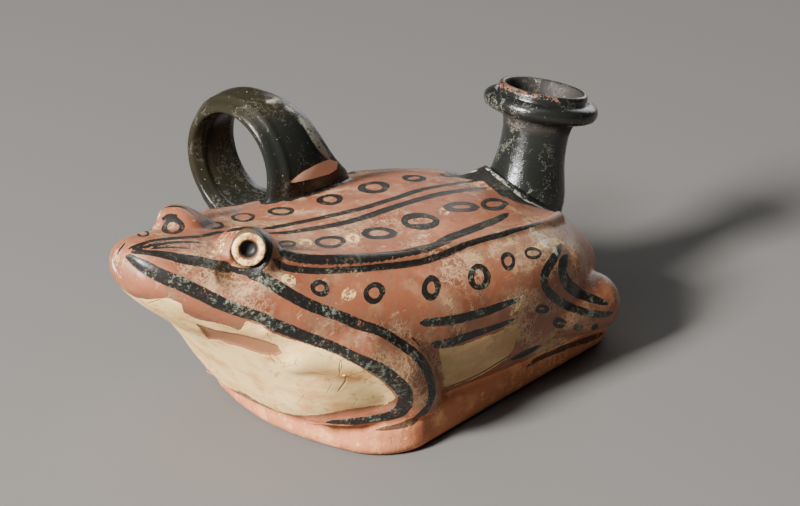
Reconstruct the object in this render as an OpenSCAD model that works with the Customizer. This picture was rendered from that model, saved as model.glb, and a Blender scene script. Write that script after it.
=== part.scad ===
// Frog-shaped askos: a small hand-built oil flask with a ring handle on one side
// and a thrown spout over the rump. The snout points along -X, +Z is up, and the
// origin is the middle of the flat underside of the plinth.

/* [Body] */
// Length of the frog's trunk from snout to rump
body_l = 115; // [100:1:130]
// Greatest width of the trunk without its legs
body_w = 58; // [50:1:66]
// Height of the head above the top of the plinth
body_h = 41.4; // [36:0.5:46]
// Thickness of the clay wall
wall = 4; // [3:0.25:5]
// Thickness of the two ridges down the back
ridge_d = 3.2; // [2:0.2:4.5]

/* [Plinth] */
// Length of the plinth
plinth_l = 70; // [62:1:78]
// Width of the plinth under the forelegs
plinth_front_w = 53; // [46:1:58]
// Width of the plinth under the rump
plinth_rear_w = 43; // [36:1:50]
// Height of the plinth
plinth_h = 8; // [6:0.5:11]
// Radius of the front corners seen from above
plinth_corner_r = 8; // [5:0.5:11]
// Bevel round the upper edge of the plinth
plinth_bevel = 2.2; // [0.8:0.2:3]

/* [Legs] */
// Thickness of the upper arm
arm_d = 13; // [10:0.5:15]
// Thickness of the elbow
elbow_d = 9.6; // [7:0.4:12]
// Thickness of the hand
hand_d = 5; // [3.6:0.2:6]
// Thickness of the haunch
haunch_d = 18; // [14:0.5:21]
// Thickness of the shank
shank_d = 12.5; // [9:0.5:14.5]
// Thickness of the hind foot
foot_d = 5; // [3.6:0.2:6]

/* [Eyes] */
// Diameter of the eye pellets
eye_d = 6.6; // [5.6:0.2:8]
// Length of an eye pellet along its own axis
eye_l = 4.2; // [3.6:0.2:6]
// Diameter of the drilled pupil
pupil_d = 2.5; // [1.6:0.1:3.4]
// Depth of the drilled pupil
pupil_depth = 1.4; // [0.8:0.1:2]
// Diameter of the mound that carries an eye
brow_d = 13; // [11:0.5:14.5]

/* [Spout] */
// Length of the spout from its seat to the lip
spout_l = 24.1; // [20:0.5:28]
// Lean of the spout towards the tail in degrees
spout_lean = 14; // [6:1:20]
// Diameter of the spout at its waist
waist_d = 13.4; // [12:0.2:15]
// Diameter of the spout at its seat
spout_foot_d = 16.4; // [15.6:0.2:19]
// Diameter of the rounded rim
rim_d = 23.4; // [21:0.2:27]
// Thickness of the rounded rim
rim_t = 4.6; // [3.6:0.2:5.6]
// Diameter of the raised lip at its crest
lip_d = 16.8; // [16:0.2:17.6]
// Height of the raised lip above the middle of the rim
lip_h = 3.4; // [2.4:0.1:4]
// Diameter of the bore down the spout
bore_d = 9.6; // [7:0.2:10]
// Depth of the cupped mouth above the bore
cup_depth = 5.6; // [4:0.2:7]
// Length of the spigot that the spout has inside the body
spigot_l = 3; // [2.5:0.5:5]

/* [Handle] */
// Diameter of the finger hole
finger_d = 19.6; // [17:0.2:23]
// Thickness of the strap at its edges
strap_edge_t = 3; // [2.4:0.1:3.6]
// Thickness of the strap along its middle
strap_t = 4.4; // [3.8:0.1:5.2]
// Width of the strap
strap_w = 12.5; // [11:0.5:15]
// Diameter of the ribs on the strap's edges
rib_d = 2.2; // [1.6:0.1:2.8]
// Distance of the finger hole's middle from the frog's middle plane
handle_out = 26.8; // [24:0.5:29]
// Height of the finger hole's middle above the plinth
handle_up = 34.3; // [32:0.5:37]

/* [Joints in the clay] */
// Gap of slip between two luted pieces
slip = 0.05; // [0.02:0.01:0.15]

/* [Hidden] */

clay = [0.72, 0.42, 0.31];
cream = [0.87, 0.76, 0.60];
gloss = [0.10, 0.09, 0.08];

// Points on the frog are written for a trunk 115 long, 58 wide and 41.4 high,
// as [along, across, above the plinth], and these three factors carry them over.
sx = body_l / 115;
sy = body_w / 58;
sz = body_h / 41.4;
function on_frog(p) = [p[0] * sx, p[1] * sy, plinth_h + p[2] * sz];

// The trunk's cross-sections from snout to rump:
// [along, top, underside, half width, height of the widest place, squareness]
stations = [
    [-76.2, 38.4, 35.6, 1.6, 36.9, 2.0],
    [-75.0, 39.8, 32.6, 4.8, 36.2, 2.0],
    [-71.5, 40.4, 28.6, 9.0, 34.6, 1.9],
    [-66.0, 39.8, 23.6, 13.4, 32.0, 1.9],
    [-59.5, 38.4, 18.0, 17.4, 29.0, 2.0],
    [-52.0, 36.4, 8.0, 21.2, 25.0, 2.1],
    [-45.0, 34.4, -1.5, 23.8, 21.0, 2.3],
    [-35.0, 32.2, -6.5, 25.8, 17.6, 2.6],
    [-22.0, 30.8, -7.0, 27.6, 15.4, 2.6],
    [-8.0, 29.8, -7.0, 28.8, 13.0, 2.6],
    [5.0, 28.0, -7.0, 28.4, 11.4, 2.6],
    [16.0, 25.2, -6.5, 26.2, 9.8, 2.5],
    [25.0, 21.4, -5.0, 22.0, 8.4, 2.3],
    [33.2, 15.8, -2.0, 16.4, 7.0, 2.2],
    [37.0, 10.8, 2.0, 8.4, 6.4, 2.1]
];
last = len(stations) - 1;
slab = 0.02;
steps_between = 2;

// A smooth curve through the stations, which leaves each one along the line of its neighbours
function station(i) = stations[max(0, min(last, i))];
function bend(a, b, c, d, t) =
    0.5 * (2 * b + (c - a) * t + (2 * a - 5 * b + 4 * c - d) * t * t
    + (3 * b - a - 3 * c + d) * t * t * t);
function section_at(i, t) =
    [for (k = [0:5]) bend(station(i - 1)[k], station(i)[k], station(i + 1)[k], station(i + 2)[k], t)];

function power(v, e) = sign(v) * pow(abs(v), e);
function rise(s, v) = v > 0 ? s[1] - s[4] : s[4] - s[2];
function outline(s, inset, count) =
    [for (k = [0:count - 1]) let (a = 360 * k / count, u = power(cos(a), 2 / s[5]),
        v = power(sin(a), 2 / s[5]))
        [max(0.5, s[3] * sy - inset) * u, plinth_h + s[4] * sz + max(0.4, rise(s, v) * sz - inset) * v]];

// One thin slice of the trunk, standing across the frog
module slice(s, inset, count) {
    translate([s[0] * sx, 0, 0])
        rotate([90, 0, 90])
            linear_extrude(slab, center = true) polygon(outline(s, inset, count));
}

// The trunk as one smooth form, or the space inside it
module trunk(inset = 0, first = 0, count = 48) {
    for (i = [first:last - 1 - (first > 0 ? 1 : 0)], j = [0:steps_between - 1])
        hull() {
            slice(section_at(i, j / steps_between), inset, count);
            slice(section_at(i, (j + 1) / steps_between), inset, count);
        }
}

// Ridge points: [along, across, above the plinth]
ridge_path = [
    [-49, 12.6, 34.6], [-42, 14.6, 32.4], [-34, 16.6, 30.0], [-24, 18.2, 28.0], [-12, 19.2, 26.6],
    [0, 19.2, 25.2], [10, 18.2, 23.2], [18, 16.2, 21.4], [24, 13.4, 19.6]
];
module ridge(side) {
    for (i = [0:len(ridge_path) - 2])
        hull()
            for (p = [ridge_path[i], ridge_path[i + 1]])
                translate(on_frog([p[0], side * p[1], p[2]])) sphere(d = ridge_d, $fn = 12);
}

// Eyes look outwards, a little forwards and up; the left one was set higher by hand
eye_places = [[-54.3, -9.0, 38.0], [-54.9, 9.6, 35.0]];
eye_yaw = 40;
eye_pitch = 9;
eye_clear = 2.5;
module at_eye(side) {
    translate(on_frog(eye_places[side < 0 ? 0 : 1]))
        rotate([0, 0, side * (90 + eye_yaw)])
            rotate([0, 90 - eye_pitch, 0]) children();
}
// Lumps of the left and the right brow: [along, across, above the plinth, share of the brow's thickness]
brow_lumps = [
    [[-53.8, -7.6, 34.3, 0.93], [-50, -8.8, 31.6, 0.75]],
    [[-56.1, 9.2, 33.9, 1], [-51, 9.2, 31.8, 0.78]]
];
module brow(side) {
    hull()
        for (p = brow_lumps[side < 0 ? 0 : 1])
            translate(on_frog([p[0], p[1], p[2]])) sphere(d = brow_d * p[3], $fn = 32);
}

// The spout stands in a collar of the upper body, drawn up against its front
spout_seat = [28.6, 0, 17.8];
collar_spread = 0.8;
collar_h = 6;
collar_top = 3.4;
collar_top_tilt = 30;
collar_flare = 6;
flare_shift = 3.6;
flare_height = 1.6;
flare_tilt = 14;
spigot_wall = 1.8;
module at_spout() {
    translate(on_frog(spout_seat)) rotate([0, spout_lean, 0]) children();
}
module spout_collar() {
    hull() {
        at_spout() translate([0, 0, collar_top]) rotate([0, collar_top_tilt, 0])
            scale([1 / cos(collar_top_tilt), 1, 1])
                cylinder(d = spout_foot_d + collar_spread, h = slab, $fn = 48);
        at_spout() translate([-flare_shift, 0, flare_height]) rotate([0, flare_tilt, 0])
            cylinder(d = spout_foot_d + collar_spread + collar_flare, h = slab, $fn = 48);
        at_spout() translate([-collar_h / 2, 0, -collar_h])
            cylinder(d = spout_foot_d + collar_spread, h = slab, $fn = 32);
    }
}

module frog_form() {
    trunk();
    for (side = [-1, 1]) {
        ridge(side);
        brow(side);
    }
    spout_collar();
}

// Everything that belongs to the upper half of the body, as a region across the frog
seam = [[-120, 50], [-77, 37.0], [-60, 25], [-44, 15.5], [-30, 12], [60, 9]];
module above_seam() {
    rotate([90, 0, 0])
        linear_extrude(3 * body_w, center = true)
            polygon(concat([for (p = seam) [p[0] * sx, plinth_h + p[1] * sz]],
                [[60 * sx, plinth_h + 90 * sz], [-120 * sx, plinth_h + 90 * sz]]));
}

module body_shell() {
    difference() {
        frog_form();
        trunk(wall, 3, 32);
        at_spout() {
            translate([0, 0, -slip]) cylinder(d = spout_foot_d + 2 * slip, h = spout_l, $fn = 64);
            translate([0, 0, -2 * collar_h]) cylinder(d = spigot_d + 2 * slip, h = 3 * collar_h, $fn = 48);
        }
        for (side = [-1, 1]) at_eye(side) cylinder(d = eye_d + 2 * slip, h = eye_l + eye_clear, $fn = 48);
        translate([-2 * body_l, -body_w, plinth_h - body_h]) cube([4 * body_l, 2 * body_w, body_h]);
    }
}
spigot_d = bore_d + 2 * spigot_wall;

module upper_body() {
    color(clay)
        intersection() {
            body_shell();
            above_seam();
        }
}

module lower_body() {
    color(cream)
        difference() {
            body_shell();
            translate([0, 0, -slip]) above_seam();
        }
}

// A rounded trapezium, wider under the forelegs and bowed forwards under the throat
plinth_back_r = plinth_corner_r * 0.8;
plinth_front_x = -plinth_l / 2;
plinth_bow = 6.5;
function corner(x, y, r, from) =
    [for (k = [0:8]) let (a = from + 90 * k / 8) [x + r * cos(a), y + r * sin(a)]];
function bowed(p) =
    p[0] < plinth_front_x + plinth_corner_r
    ? [p[0] - plinth_bow * cos(90 * min(1, abs(2 * p[1] / plinth_front_w))), p[1]] : p;
function plinth_outline(inset) =
    let (fr = plinth_corner_r - inset, rr = plinth_back_r - inset,
        fx = plinth_front_x + plinth_corner_r, rx = plinth_front_x + plinth_l - plinth_back_r,
        fy = plinth_front_w / 2 - plinth_corner_r, ry = plinth_rear_w / 2 - plinth_back_r,
        front_edge = [for (k = [1:7]) [fx - fr, fy * (1 - k / 4)]])
    [for (p = concat(corner(rx, ry, rr, 0), corner(fx, fy, fr, 90), front_edge,
        corner(fx, -fy, fr, 180), corner(rx, -ry, rr, 270))) bowed(p)];
module base_plinth() {
    color(clay) {
        linear_extrude(plinth_h - plinth_bevel) polygon(plinth_outline(0));
        translate([0, 0, plinth_h - plinth_bevel])
            linear_extrude(plinth_bevel) polygon(plinth_outline(plinth_bevel));
    }
}

// A limb is a chain of rounded lumps: [along, across, above the plinth, thickness]
// limb_follow keeps the limbs proud of a trunk that is wider or narrower than 58
limb_follow = 0.1;
limb_out = (body_w - 58) * limb_follow;
module limb(lumps, side) {
    for (i = [0:len(lumps) - 2])
        hull()
            for (p = [lumps[i], lumps[i + 1]])
                translate(on_frog([p[0], side * (p[1] + limb_out), p[2]])) sphere(d = p[3], $fn = 28);
}
module luted_limb(lumps, side) {
    difference() {
        limb(lumps, side);
        frog_form();
        translate([-2 * body_l, -2 * body_w, plinth_h - body_h + slip])
            cube([4 * body_l, 4 * body_w, body_h]);
    }
}

foreleg_lumps = [[-48, 16.0, 19.5, arm_d * 1.04], [-39, 20.4, 17.0, arm_d * 1.1], [-31.5, 22.8, 11.5, arm_d * 1.04],
    [-26.8, 23.8, 5.0, elbow_d * 1.12], [-25.8, 23.6, 2.2, elbow_d], [-31, 21.4, 1.2, hand_d * 1.2],
    [-38, 18.4, 0.6, hand_d], [-40, 15.0, 0.2, hand_d]];
hind_leg_lumps = [[20.5, 13.5, 11.6, haunch_d * 0.92], [16, 18, 12.2, haunch_d * 0.9],
    [12, 20.7, 10.8, haunch_d * 0.78], [5.5, 22.8, 8.4, shank_d * 0.75], [14, 23.6, 6.2, shank_d * 0.84],
    [24, 22.6, 4.4, shank_d], [24.5, 22.4, 1.6, foot_d * 1.4], [13, 23.6, 0.9, foot_d],
    [2, 23.4, 0.6, foot_d * 0.96]];
module left_foreleg() { color(clay) luted_limb(foreleg_lumps, -1); }
module right_foreleg() { color(clay) luted_limb(foreleg_lumps, 1); }
module left_hind_leg() { color(clay) luted_limb(hind_leg_lumps, -1); }
module right_hind_leg() { color(clay) luted_limb(hind_leg_lumps, 1); }

// A drilled pellet of clay, seated in the brow
eye_face_r = 0.9;
module eye(side) {
    at_eye(side)
        difference() {
            rotate_extrude($fn = 64)
                polygon([[0, 0], [eye_d / 2, 0], [eye_d / 2, eye_l - eye_face_r],
                    [eye_d / 2 - eye_face_r * 0.3, eye_l - eye_face_r * 0.3],
                    [eye_d / 2 - eye_face_r, eye_l], [0, eye_l]]);
            translate([0, 0, eye_l - pupil_depth]) cylinder(d = pupil_d, h = 2 * pupil_depth, $fn = 48);
        }
}
module left_eye() { color(cream) eye(-1); }
module right_eye() { color(cream) eye(1); }

// The thrown spout, with a rounded rim, a raised lip, a cupped mouth and a straight bore
rim_height = spout_l - lip_h;
lip_t = 1.6;
function arc(x, y, r, from, to, count) =
    [for (k = [0:count]) let (a = from + (to - from) * k / count) [x + r * cos(a), y + r * sin(a)]];
module spout() {
    rim_x = rim_d / 2 - rim_t / 2;
    color(gloss)
        at_spout()
            rotate_extrude($fn = 96)
                polygon(concat(
                    [[bore_d / 2, -spigot_l], [spigot_d / 2, -spigot_l], [spigot_d / 2, 0], [spout_foot_d / 2, 0],
                        [spout_foot_d / 2, spout_l * 0.16],
                        [spout_foot_d / 2 - 0.8, spout_l * 0.3], [waist_d / 2 + 0.2, spout_l * 0.46],
                        [waist_d / 2, spout_l * 0.6], [waist_d / 2 + 0.8, rim_height - rim_t / 2 - 0.3]],
                    arc(rim_x, rim_height, rim_t / 2, -90, 90, 12),
                    [[lip_d / 2 + lip_t / 2, rim_height + rim_t / 2 - 0.5]],
                    arc(lip_d / 2, spout_l - lip_t / 2, lip_t / 2, 0, 180, 8),
                    [[lip_d / 2 - lip_t / 2, spout_l - lip_t], [bore_d / 2, spout_l - cup_depth]]));
}

// The strap handle is a ring whose hole runs along the frog
handle_front = -27;
module strap_ring() {
    r = finger_d / 2;
    h = strap_w / 2;
    translate([handle_front * sx + h, handle_out * sy, plinth_h + handle_up * sz])
        rotate([0, 90, 0])
            rotate_extrude($fn = 72)
                polygon([[r, -h + rib_d / 2], [r + 0.5, -h + 0.3], [r + strap_edge_t - 0.5, -h],
                    [r + strap_edge_t, -h + rib_d / 2], [r + strap_edge_t - 0.4, -h + rib_d],
                    [r + strap_t - 0.4, -h / 3], [r + strap_t, 0], [r + strap_t - 0.4, h / 3],
                    [r + strap_edge_t - 0.4, h - rib_d], [r + strap_edge_t, h - rib_d / 2],
                    [r + strap_edge_t - 0.5, h], [r + 0.5, h - 0.3], [r, h - rib_d / 2],
                    [r + 0.5, h - rib_d], [r + 0.3, 0], [r + 0.5, -h + rib_d]]);
}
// The clay spreads where the strap meets the back and, lower down, the right flank
back_root = [[-14, 16, 29.5], [-6, 15.2, 28.4], [-8, 18.4, 26.4]];
flank_root = [[-24, 26, 16], [-11, 27.4, 14]];
root_d = strap_t * 0.7;
strap_back = handle_front * sx + strap_w - root_d / 2;
strap_front = handle_front * sx + root_d / 2;
module root(sense, starts, ground) {
    r = finger_d / 2 + strap_t / 2;
    middle = [handle_out * sy, plinth_h + handle_up * sz];
    difference() {
        hull() {
            for (p = starts)
                translate([p[0], middle[0] + sense * r * cos(p[1]), middle[1] + r * sin(p[1])])
                    sphere(d = root_d, $fn = 20);
            for (p = ground) translate(on_frog(p)) sphere(d = root_d, $fn = 20);
        }
        translate([strap_front - body_w, middle[0], middle[1]])
            rotate([0, 90, 0]) cylinder(d = finger_d + strap_t / 2, h = 3 * body_w, $fn = 60);
    }
}
module handle() {
    color(gloss)
        difference() {
            union() {
                strap_ring();
                root(-1, [[strap_back, 52], [strap_back, 25], [strap_back, 0]], back_root);
                root(1, [[strap_front, -48], [strap_back, -48]], flank_root);
            }
            frog_form();
        }
}

base_plinth();
lower_body();
upper_body();
left_foreleg();
right_foreleg();
left_hind_leg();
right_hind_leg();
left_eye();
right_eye();
spout();
handle();
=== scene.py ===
# Frog-shaped askos: hand-modelled and painted clay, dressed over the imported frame.
# The clay is worked in millimetres and brought to metres when a piece is finished.
import math

import bpy
import numpy as np
from mathutils import Matrix, Vector
from mathutils.bvhtree import BVHTree
from mathutils.kdtree import KDTree


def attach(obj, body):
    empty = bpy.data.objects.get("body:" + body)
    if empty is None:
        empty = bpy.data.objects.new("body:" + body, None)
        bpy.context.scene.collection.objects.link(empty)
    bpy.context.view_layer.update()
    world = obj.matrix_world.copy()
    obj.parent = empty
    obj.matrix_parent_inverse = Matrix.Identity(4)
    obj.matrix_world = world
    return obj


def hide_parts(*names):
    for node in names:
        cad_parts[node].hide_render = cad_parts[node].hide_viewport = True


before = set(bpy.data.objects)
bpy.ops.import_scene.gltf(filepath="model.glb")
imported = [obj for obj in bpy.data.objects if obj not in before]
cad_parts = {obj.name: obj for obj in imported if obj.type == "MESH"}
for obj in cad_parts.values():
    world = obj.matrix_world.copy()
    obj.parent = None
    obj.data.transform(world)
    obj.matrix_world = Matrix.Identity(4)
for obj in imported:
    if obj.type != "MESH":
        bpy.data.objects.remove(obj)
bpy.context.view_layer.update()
print("frame loaded:", ", ".join(sorted(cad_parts)))

plinthTop = 8.0
millimetre = 0.001


def startFresh():
    if bpy.context.mode != "OBJECT":
        bpy.ops.object.mode_set(mode="OBJECT")
    bpy.ops.object.select_all(action="DESELECT")


def pickOut(piece):
    startFresh()
    piece.select_set(True)
    bpy.context.view_layer.objects.active = piece


def joinAll(pieces, name):
    pickOut(pieces[0])
    for piece in pieces:
        piece.select_set(True)
    if len(pieces) > 1:
        bpy.ops.object.join()
    joined = bpy.context.view_layer.objects.active
    bpy.ops.object.transform_apply(location=True, rotation=True, scale=True)
    joined.name = name
    return joined


def rowsOf(items, name):
    # One row of three numbers for each vertex or face
    flat = np.empty(len(items) * 3, dtype=np.float32)
    items.foreach_get(name, flat)
    return flat.reshape(-1, 3).astype(np.float64)


def countsOf(items, name, each=1):
    # Whole numbers, one or more for each edge, loop or face
    flat = np.empty(len(items) * each, dtype=np.int32)
    items.foreach_get(name, flat)
    return flat


def placesOf(piece):
    return rowsOf(piece.data.vertices, "co")


def faceCentres(piece):
    return rowsOf(piece.data.polygons, "center")


def putPlaces(piece, places):
    piece.data.vertices.foreach_set("co", np.ascontiguousarray(places, dtype=np.float64).ravel())
    piece.data.update()


def applyModifier(piece, kind, **settings):
    pickOut(piece)
    modifier = piece.modifiers.new(kind.title(), kind)
    for key, value in settings.items():
        setattr(modifier, key, value)
    bpy.ops.object.modifier_apply(modifier=modifier.name)


def rework(piece, *steps):
    # Steps of mesh editing, each over the whole piece
    pickOut(piece)
    bpy.ops.object.mode_set(mode="EDIT")
    for step in steps:
        bpy.ops.mesh.select_all(action="SELECT")
        step()
    bpy.ops.object.mode_set(mode="OBJECT")


def faceOutward():
    bpy.ops.mesh.normals_make_consistent(inside=False)


def selectFaces(piece, chosen):
    # chosen is one true or false for each face
    pickOut(piece)
    bpy.context.tool_settings.mesh_select_mode = (False, False, True)
    mesh = piece.data
    mesh.vertices.foreach_set("select", np.zeros(len(mesh.vertices), dtype=bool))
    mesh.edges.foreach_set("select", np.zeros(len(mesh.edges), dtype=bool))
    mesh.polygons.foreach_set("select", chosen)
    bpy.ops.object.mode_set(mode="EDIT")


def sliceFaces(piece, chosen, place, facing, **more):
    selectFaces(piece, chosen)
    bpy.ops.mesh.bisect(plane_co=place, plane_no=facing, **more)
    bpy.ops.object.mode_set(mode="OBJECT")


def allFaces(piece):
    return np.ones(len(piece.data.polygons), dtype=bool)


def asUnit(rows):
    # Each row drawn out or in to a length of one
    return rows / np.linalg.norm(rows, axis=1, keepdims=True)


# The camera stands where the photographer stood
lookout = {
    "place": (-382.26, -375.72, 273.57),
    "aim": (2.25, 8.79, 20.0),
    "lens": 135.0,
    "film": 36.0,
    "focal": 3000.0,
    "pictureMiddle": (400.0, 253.0),
    "nearest": 0.01,
    "farthest": 50.0,
    "millimetresPerStep": 0.2,
}
eyePoint = np.array(lookout["place"])
lookForward = np.array(lookout["aim"]) - eyePoint
lookForward = lookForward / np.linalg.norm(lookForward)
lookRight = np.cross(lookForward, (0.0, 0.0, 1.0))
lookRight = lookRight / np.linalg.norm(lookRight)
lookUp = np.cross(lookRight, lookForward)


def setCamera():
    startFresh()
    bpy.ops.object.camera_add(location=tuple(eyePoint * millimetre))
    camera = bpy.context.object
    camera.name = "photoCamera"
    camera.rotation_euler = Vector(lookForward).to_track_quat("-Z", "Y").to_euler()
    camera.data.sensor_fit = "HORIZONTAL"
    camera.data.sensor_width = lookout["film"]
    camera.data.lens = lookout["lens"]
    camera.data.clip_start = lookout["nearest"]
    camera.data.clip_end = lookout["farthest"]
    bpy.context.scene.camera = camera


def toPicture(places):
    offset = places - eyePoint
    depth = offset @ lookForward
    middle = lookout["pictureMiddle"]
    return np.stack([
        middle[0] + lookout["focal"] * (offset @ lookRight) / depth,
        middle[1] - lookout["focal"] * (offset @ lookUp) / depth,
    ], axis=1)


def sightLine(x, y):
    middle = lookout["pictureMiddle"]
    line = lookForward + lookRight * (x - middle[0]) / lookout["focal"]
    line = line - lookUp * (y - middle[1]) / lookout["focal"]
    return line / np.linalg.norm(line)


setCamera()

# The trunk: along, top, underside, half width, widest height, squareness
trunk = {
    "stations": [
        (-76.0, 37.9, 36.1, 0.5, 36.9, 2.0), (-75.8, 39.2, 35.0, 2.4, 36.8, 2.0),
        (-75.0, 40.5, 32.6, 5.2, 36.2, 2.0), (-71.5, 41.3, 28.6, 9.3, 34.8, 1.95),
        (-66.0, 40.4, 23.6, 13.4, 32.0, 1.9), (-59.5, 38.6, 18.0, 17.4, 29.0, 2.0),
        (-52.0, 36.4, 8.0, 21.2, 25.0, 2.1), (-45.0, 34.4, -1.5, 23.8, 21.0, 2.3),
        (-35.0, 32.2, -6.5, 25.8, 17.6, 2.6), (-22.0, 30.8, -7.0, 27.6, 15.4, 2.6),
        (-8.0, 29.8, -7.0, 28.8, 13.0, 2.6), (5.0, 28.0, -7.0, 28.4, 11.4, 2.6),
        (16.0, 25.2, -6.5, 26.2, 9.8, 2.5), (25.0, 21.4, -5.0, 22.0, 8.4, 2.3),
        (33.2, 15.8, -2.0, 16.4, 7.0, 2.2), (36.6, 11.2, 1.6, 9.6, 6.4, 2.1),
        (37.6, 7.4, 5.4, 1.0, 6.4, 2.0),
    ],
    "around": 96,
    "rings": 144,
    "poleReach": 1e-4,
}


def curveThrough(rows, step):
    # A smooth curve through the rows, at a step counted in rows
    rows = np.array(rows, dtype=float)
    last = len(rows) - 1
    i = np.clip(np.floor(step).astype(int), 0, last - 1)
    t = (step - i)[:, None]
    a, b = rows[np.clip(i - 1, 0, last)], rows[i]
    c, d = rows[np.clip(i + 1, 0, last)], rows[np.clip(i + 2, 0, last)]
    bend, twist = 2 * a - 5 * b + 4 * c - d, 3 * b - a - 3 * c + d
    return 0.5 * (2 * b + (c - a) * t + bend * t ** 2 + twist * t ** 3)


def shapeTrunk():
    startFresh()
    bpy.ops.mesh.primitive_uv_sphere_add(segments=trunk["around"], ring_count=trunk["rings"], radius=1.0)
    body = bpy.context.object
    body.name = "trunkClay"
    ball = placesOf(body)
    along = np.arccos(np.clip(ball[:, 2], -1, 1)) / math.pi * (len(trunk["stations"]) - 1)
    x, top, underside, halfWidth, widest, squareness = curveThrough(trunk["stations"], along).T
    fromPole = np.clip(np.hypot(ball[:, 0], ball[:, 1]), 1e-6, None)
    offPole = fromPole >= trunk["poleReach"]
    power = 2.0 / squareness
    side, lift = [np.where(offPole, np.sign(part) * np.abs(part) ** power, 0)
                  for part in (ball[:, 0] / fromPole, ball[:, 1] / fromPole)]
    rise = np.where(lift > 0, top - widest, widest - underside)
    putPlaces(body, np.stack([x, halfWidth * side, plinthTop + widest + rise * lift], axis=1))
    rework(body, faceOutward)
    return body


def trimUnderside(piece, height):
    if placesOf(piece)[:, 2].min() < height:
        sliceFaces(piece, allFaces(piece), (0, 0, height), (0, 0, 1), clear_inner=True, use_fill=True)


luting = 0.4


def lumpOfClay(lumps, name="lump"):
    # The tightest skin round a few balls of clay: (along, across, above the plinth, thickness)
    balls = []
    for x, y, z, thickness in lumps:
        startFresh()
        bpy.ops.mesh.primitive_uv_sphere_add(segments=24, ring_count=16, radius=thickness / 2,
                                             location=(x, y, plinthTop + z))
        balls.append(bpy.context.object)
    lump = joinAll(balls, name)
    rework(lump, bpy.ops.mesh.convex_hull)
    trimUnderside(lump, plinthTop - luting)
    return lump


def rollOfClay(lumps, name):
    return joinAll([lumpOfClay(pair) for pair in zip(lumps, lumps[1:])], name)


def eyeTurn(side):
    place = eyes["left" if side < 0 else "right"]
    turn = Matrix.Translation(place) @ Matrix.Rotation(math.radians(side * (90 + eyes["yaw"])), 4, "Z")
    return turn @ Matrix.Rotation(math.radians(90 - eyes["pitch"]), 4, "Y")


def pressRoundEye(places, side):
    turn = eyeTurn(side)
    axis = np.array(turn.to_3x3().col[2][:])
    offset = places - np.array(turn.translation[:])
    out = offset @ axis
    aside = np.linalg.norm(offset - out[:, None] * axis, axis=1)
    reach, limit = np.array(eyes["pressed"]).T
    back = np.where(out > eyes["pressedFrom"], np.clip(out - np.interp(aside, reach, limit), 0, None), 0)
    return places - back[:, None] * axis


def mirrored(piece, name):
    pickOut(piece)
    bpy.ops.object.duplicate()
    twin = bpy.context.object
    places = placesOf(twin)
    places[:, 1] *= -1
    putPlaces(twin, places)
    rework(twin, bpy.ops.mesh.flip_normals)
    twin.name = name
    return twin


def pairOfRolls(lumps, name):
    left = rollOfClay(lumps, "left" + name)
    return [left, mirrored(left, "right" + name)]


limbs = {
    "foreleg": [
        (-48, -16, 19.5, 13.5), (-39, -20.4, 17, 14.3), (-31.5, -22.7, 11.5, 13.4), (-26.8, -23.7, 5, 10.8),
        (-25.8, -23.5, 2.2, 9.6), (-31, -21.4, 1.7, 8.0), (-38, -18.0, 1.3, 7.0), (-42, -13.6, 0.8, 6.0),
    ],
    "hindLeg": [
        (20.5, -13.5, 11.6, 16.6), (16, -18, 12.2, 16.2), (12, -20.7, 10.8, 14.0), (5.5, -22.8, 8.4, 9.4),
        (14, -23.6, 6.2, 10.5), (24, -22.6, 4.4, 12.5), (24.5, -22.4, 1.6, 7.0), (13, -23.6, 0.9, 5.0),
        (2, -23.4, 0.6, 4.8),
    ],
    "ridge": [
        (-49, -12.6, 34.6, 3.8), (-42, -14.6, 32.4, 4.0), (-34, -16.6, 30.0, 4.1), (-24, -18.2, 28.0, 4.1),
        (-12, -19.2, 26.6, 4.1), (0, -19.2, 25.2, 4.0), (10, -18.2, 23.2, 3.8), (18, -16.2, 21.4, 3.6),
        (24, -13.4, 19.6, 3.2),
    ],
    "leftBrow": [(-53.9, -7.8, 34.5, 12.9), (-50, -8.8, 31.6, 9.8)],
    "rightBrow": [(-56.1, 9.2, 33.9, 13.0), (-51, 9.2, 31.8, 10.1)],
}
# The left eye was set a little higher than the right one
eyes = {
    "left": (-54.3, -9.0, 46.0), "right": (-54.9, 9.6, 43.0), "yaw": 40.0, "pitch": 14.0,
    "profile": [
        (0.0, -0.6), (3.1, -0.6), (3.18, 0.4), (3.2, 1.6), (3.2, 3.0), (3.12, 3.65), (2.95, 4.05), (2.7, 4.2),
        (2.35, 4.18), (2.0, 4.02), (1.7, 3.75), (1.45, 3.35), (1.3, 2.95), (1.15, 2.5), (0.7, 2.35), (0.0, 2.3),
    ],
    "faceFrom": 3.9, "pressedFrom": -2.0,
    # The clay is pressed back round the pellet: (distance from its axis, how far out the clay may stand)
    "pressed": [(0, 1.6), (2.9, 1.8), (3.4, 3.2), (4.8, 3.7), (8.0, 9.0), (30, 60)],
}

plinth = {
    "front": -35.0, "back": 35.0, "frontWidth": 53.0, "backWidth": 43.0, "bow": 6.5,
    "frontCorner": 8.0, "backCorner": 6.4, "roundOver": 2.2,
}


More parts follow.
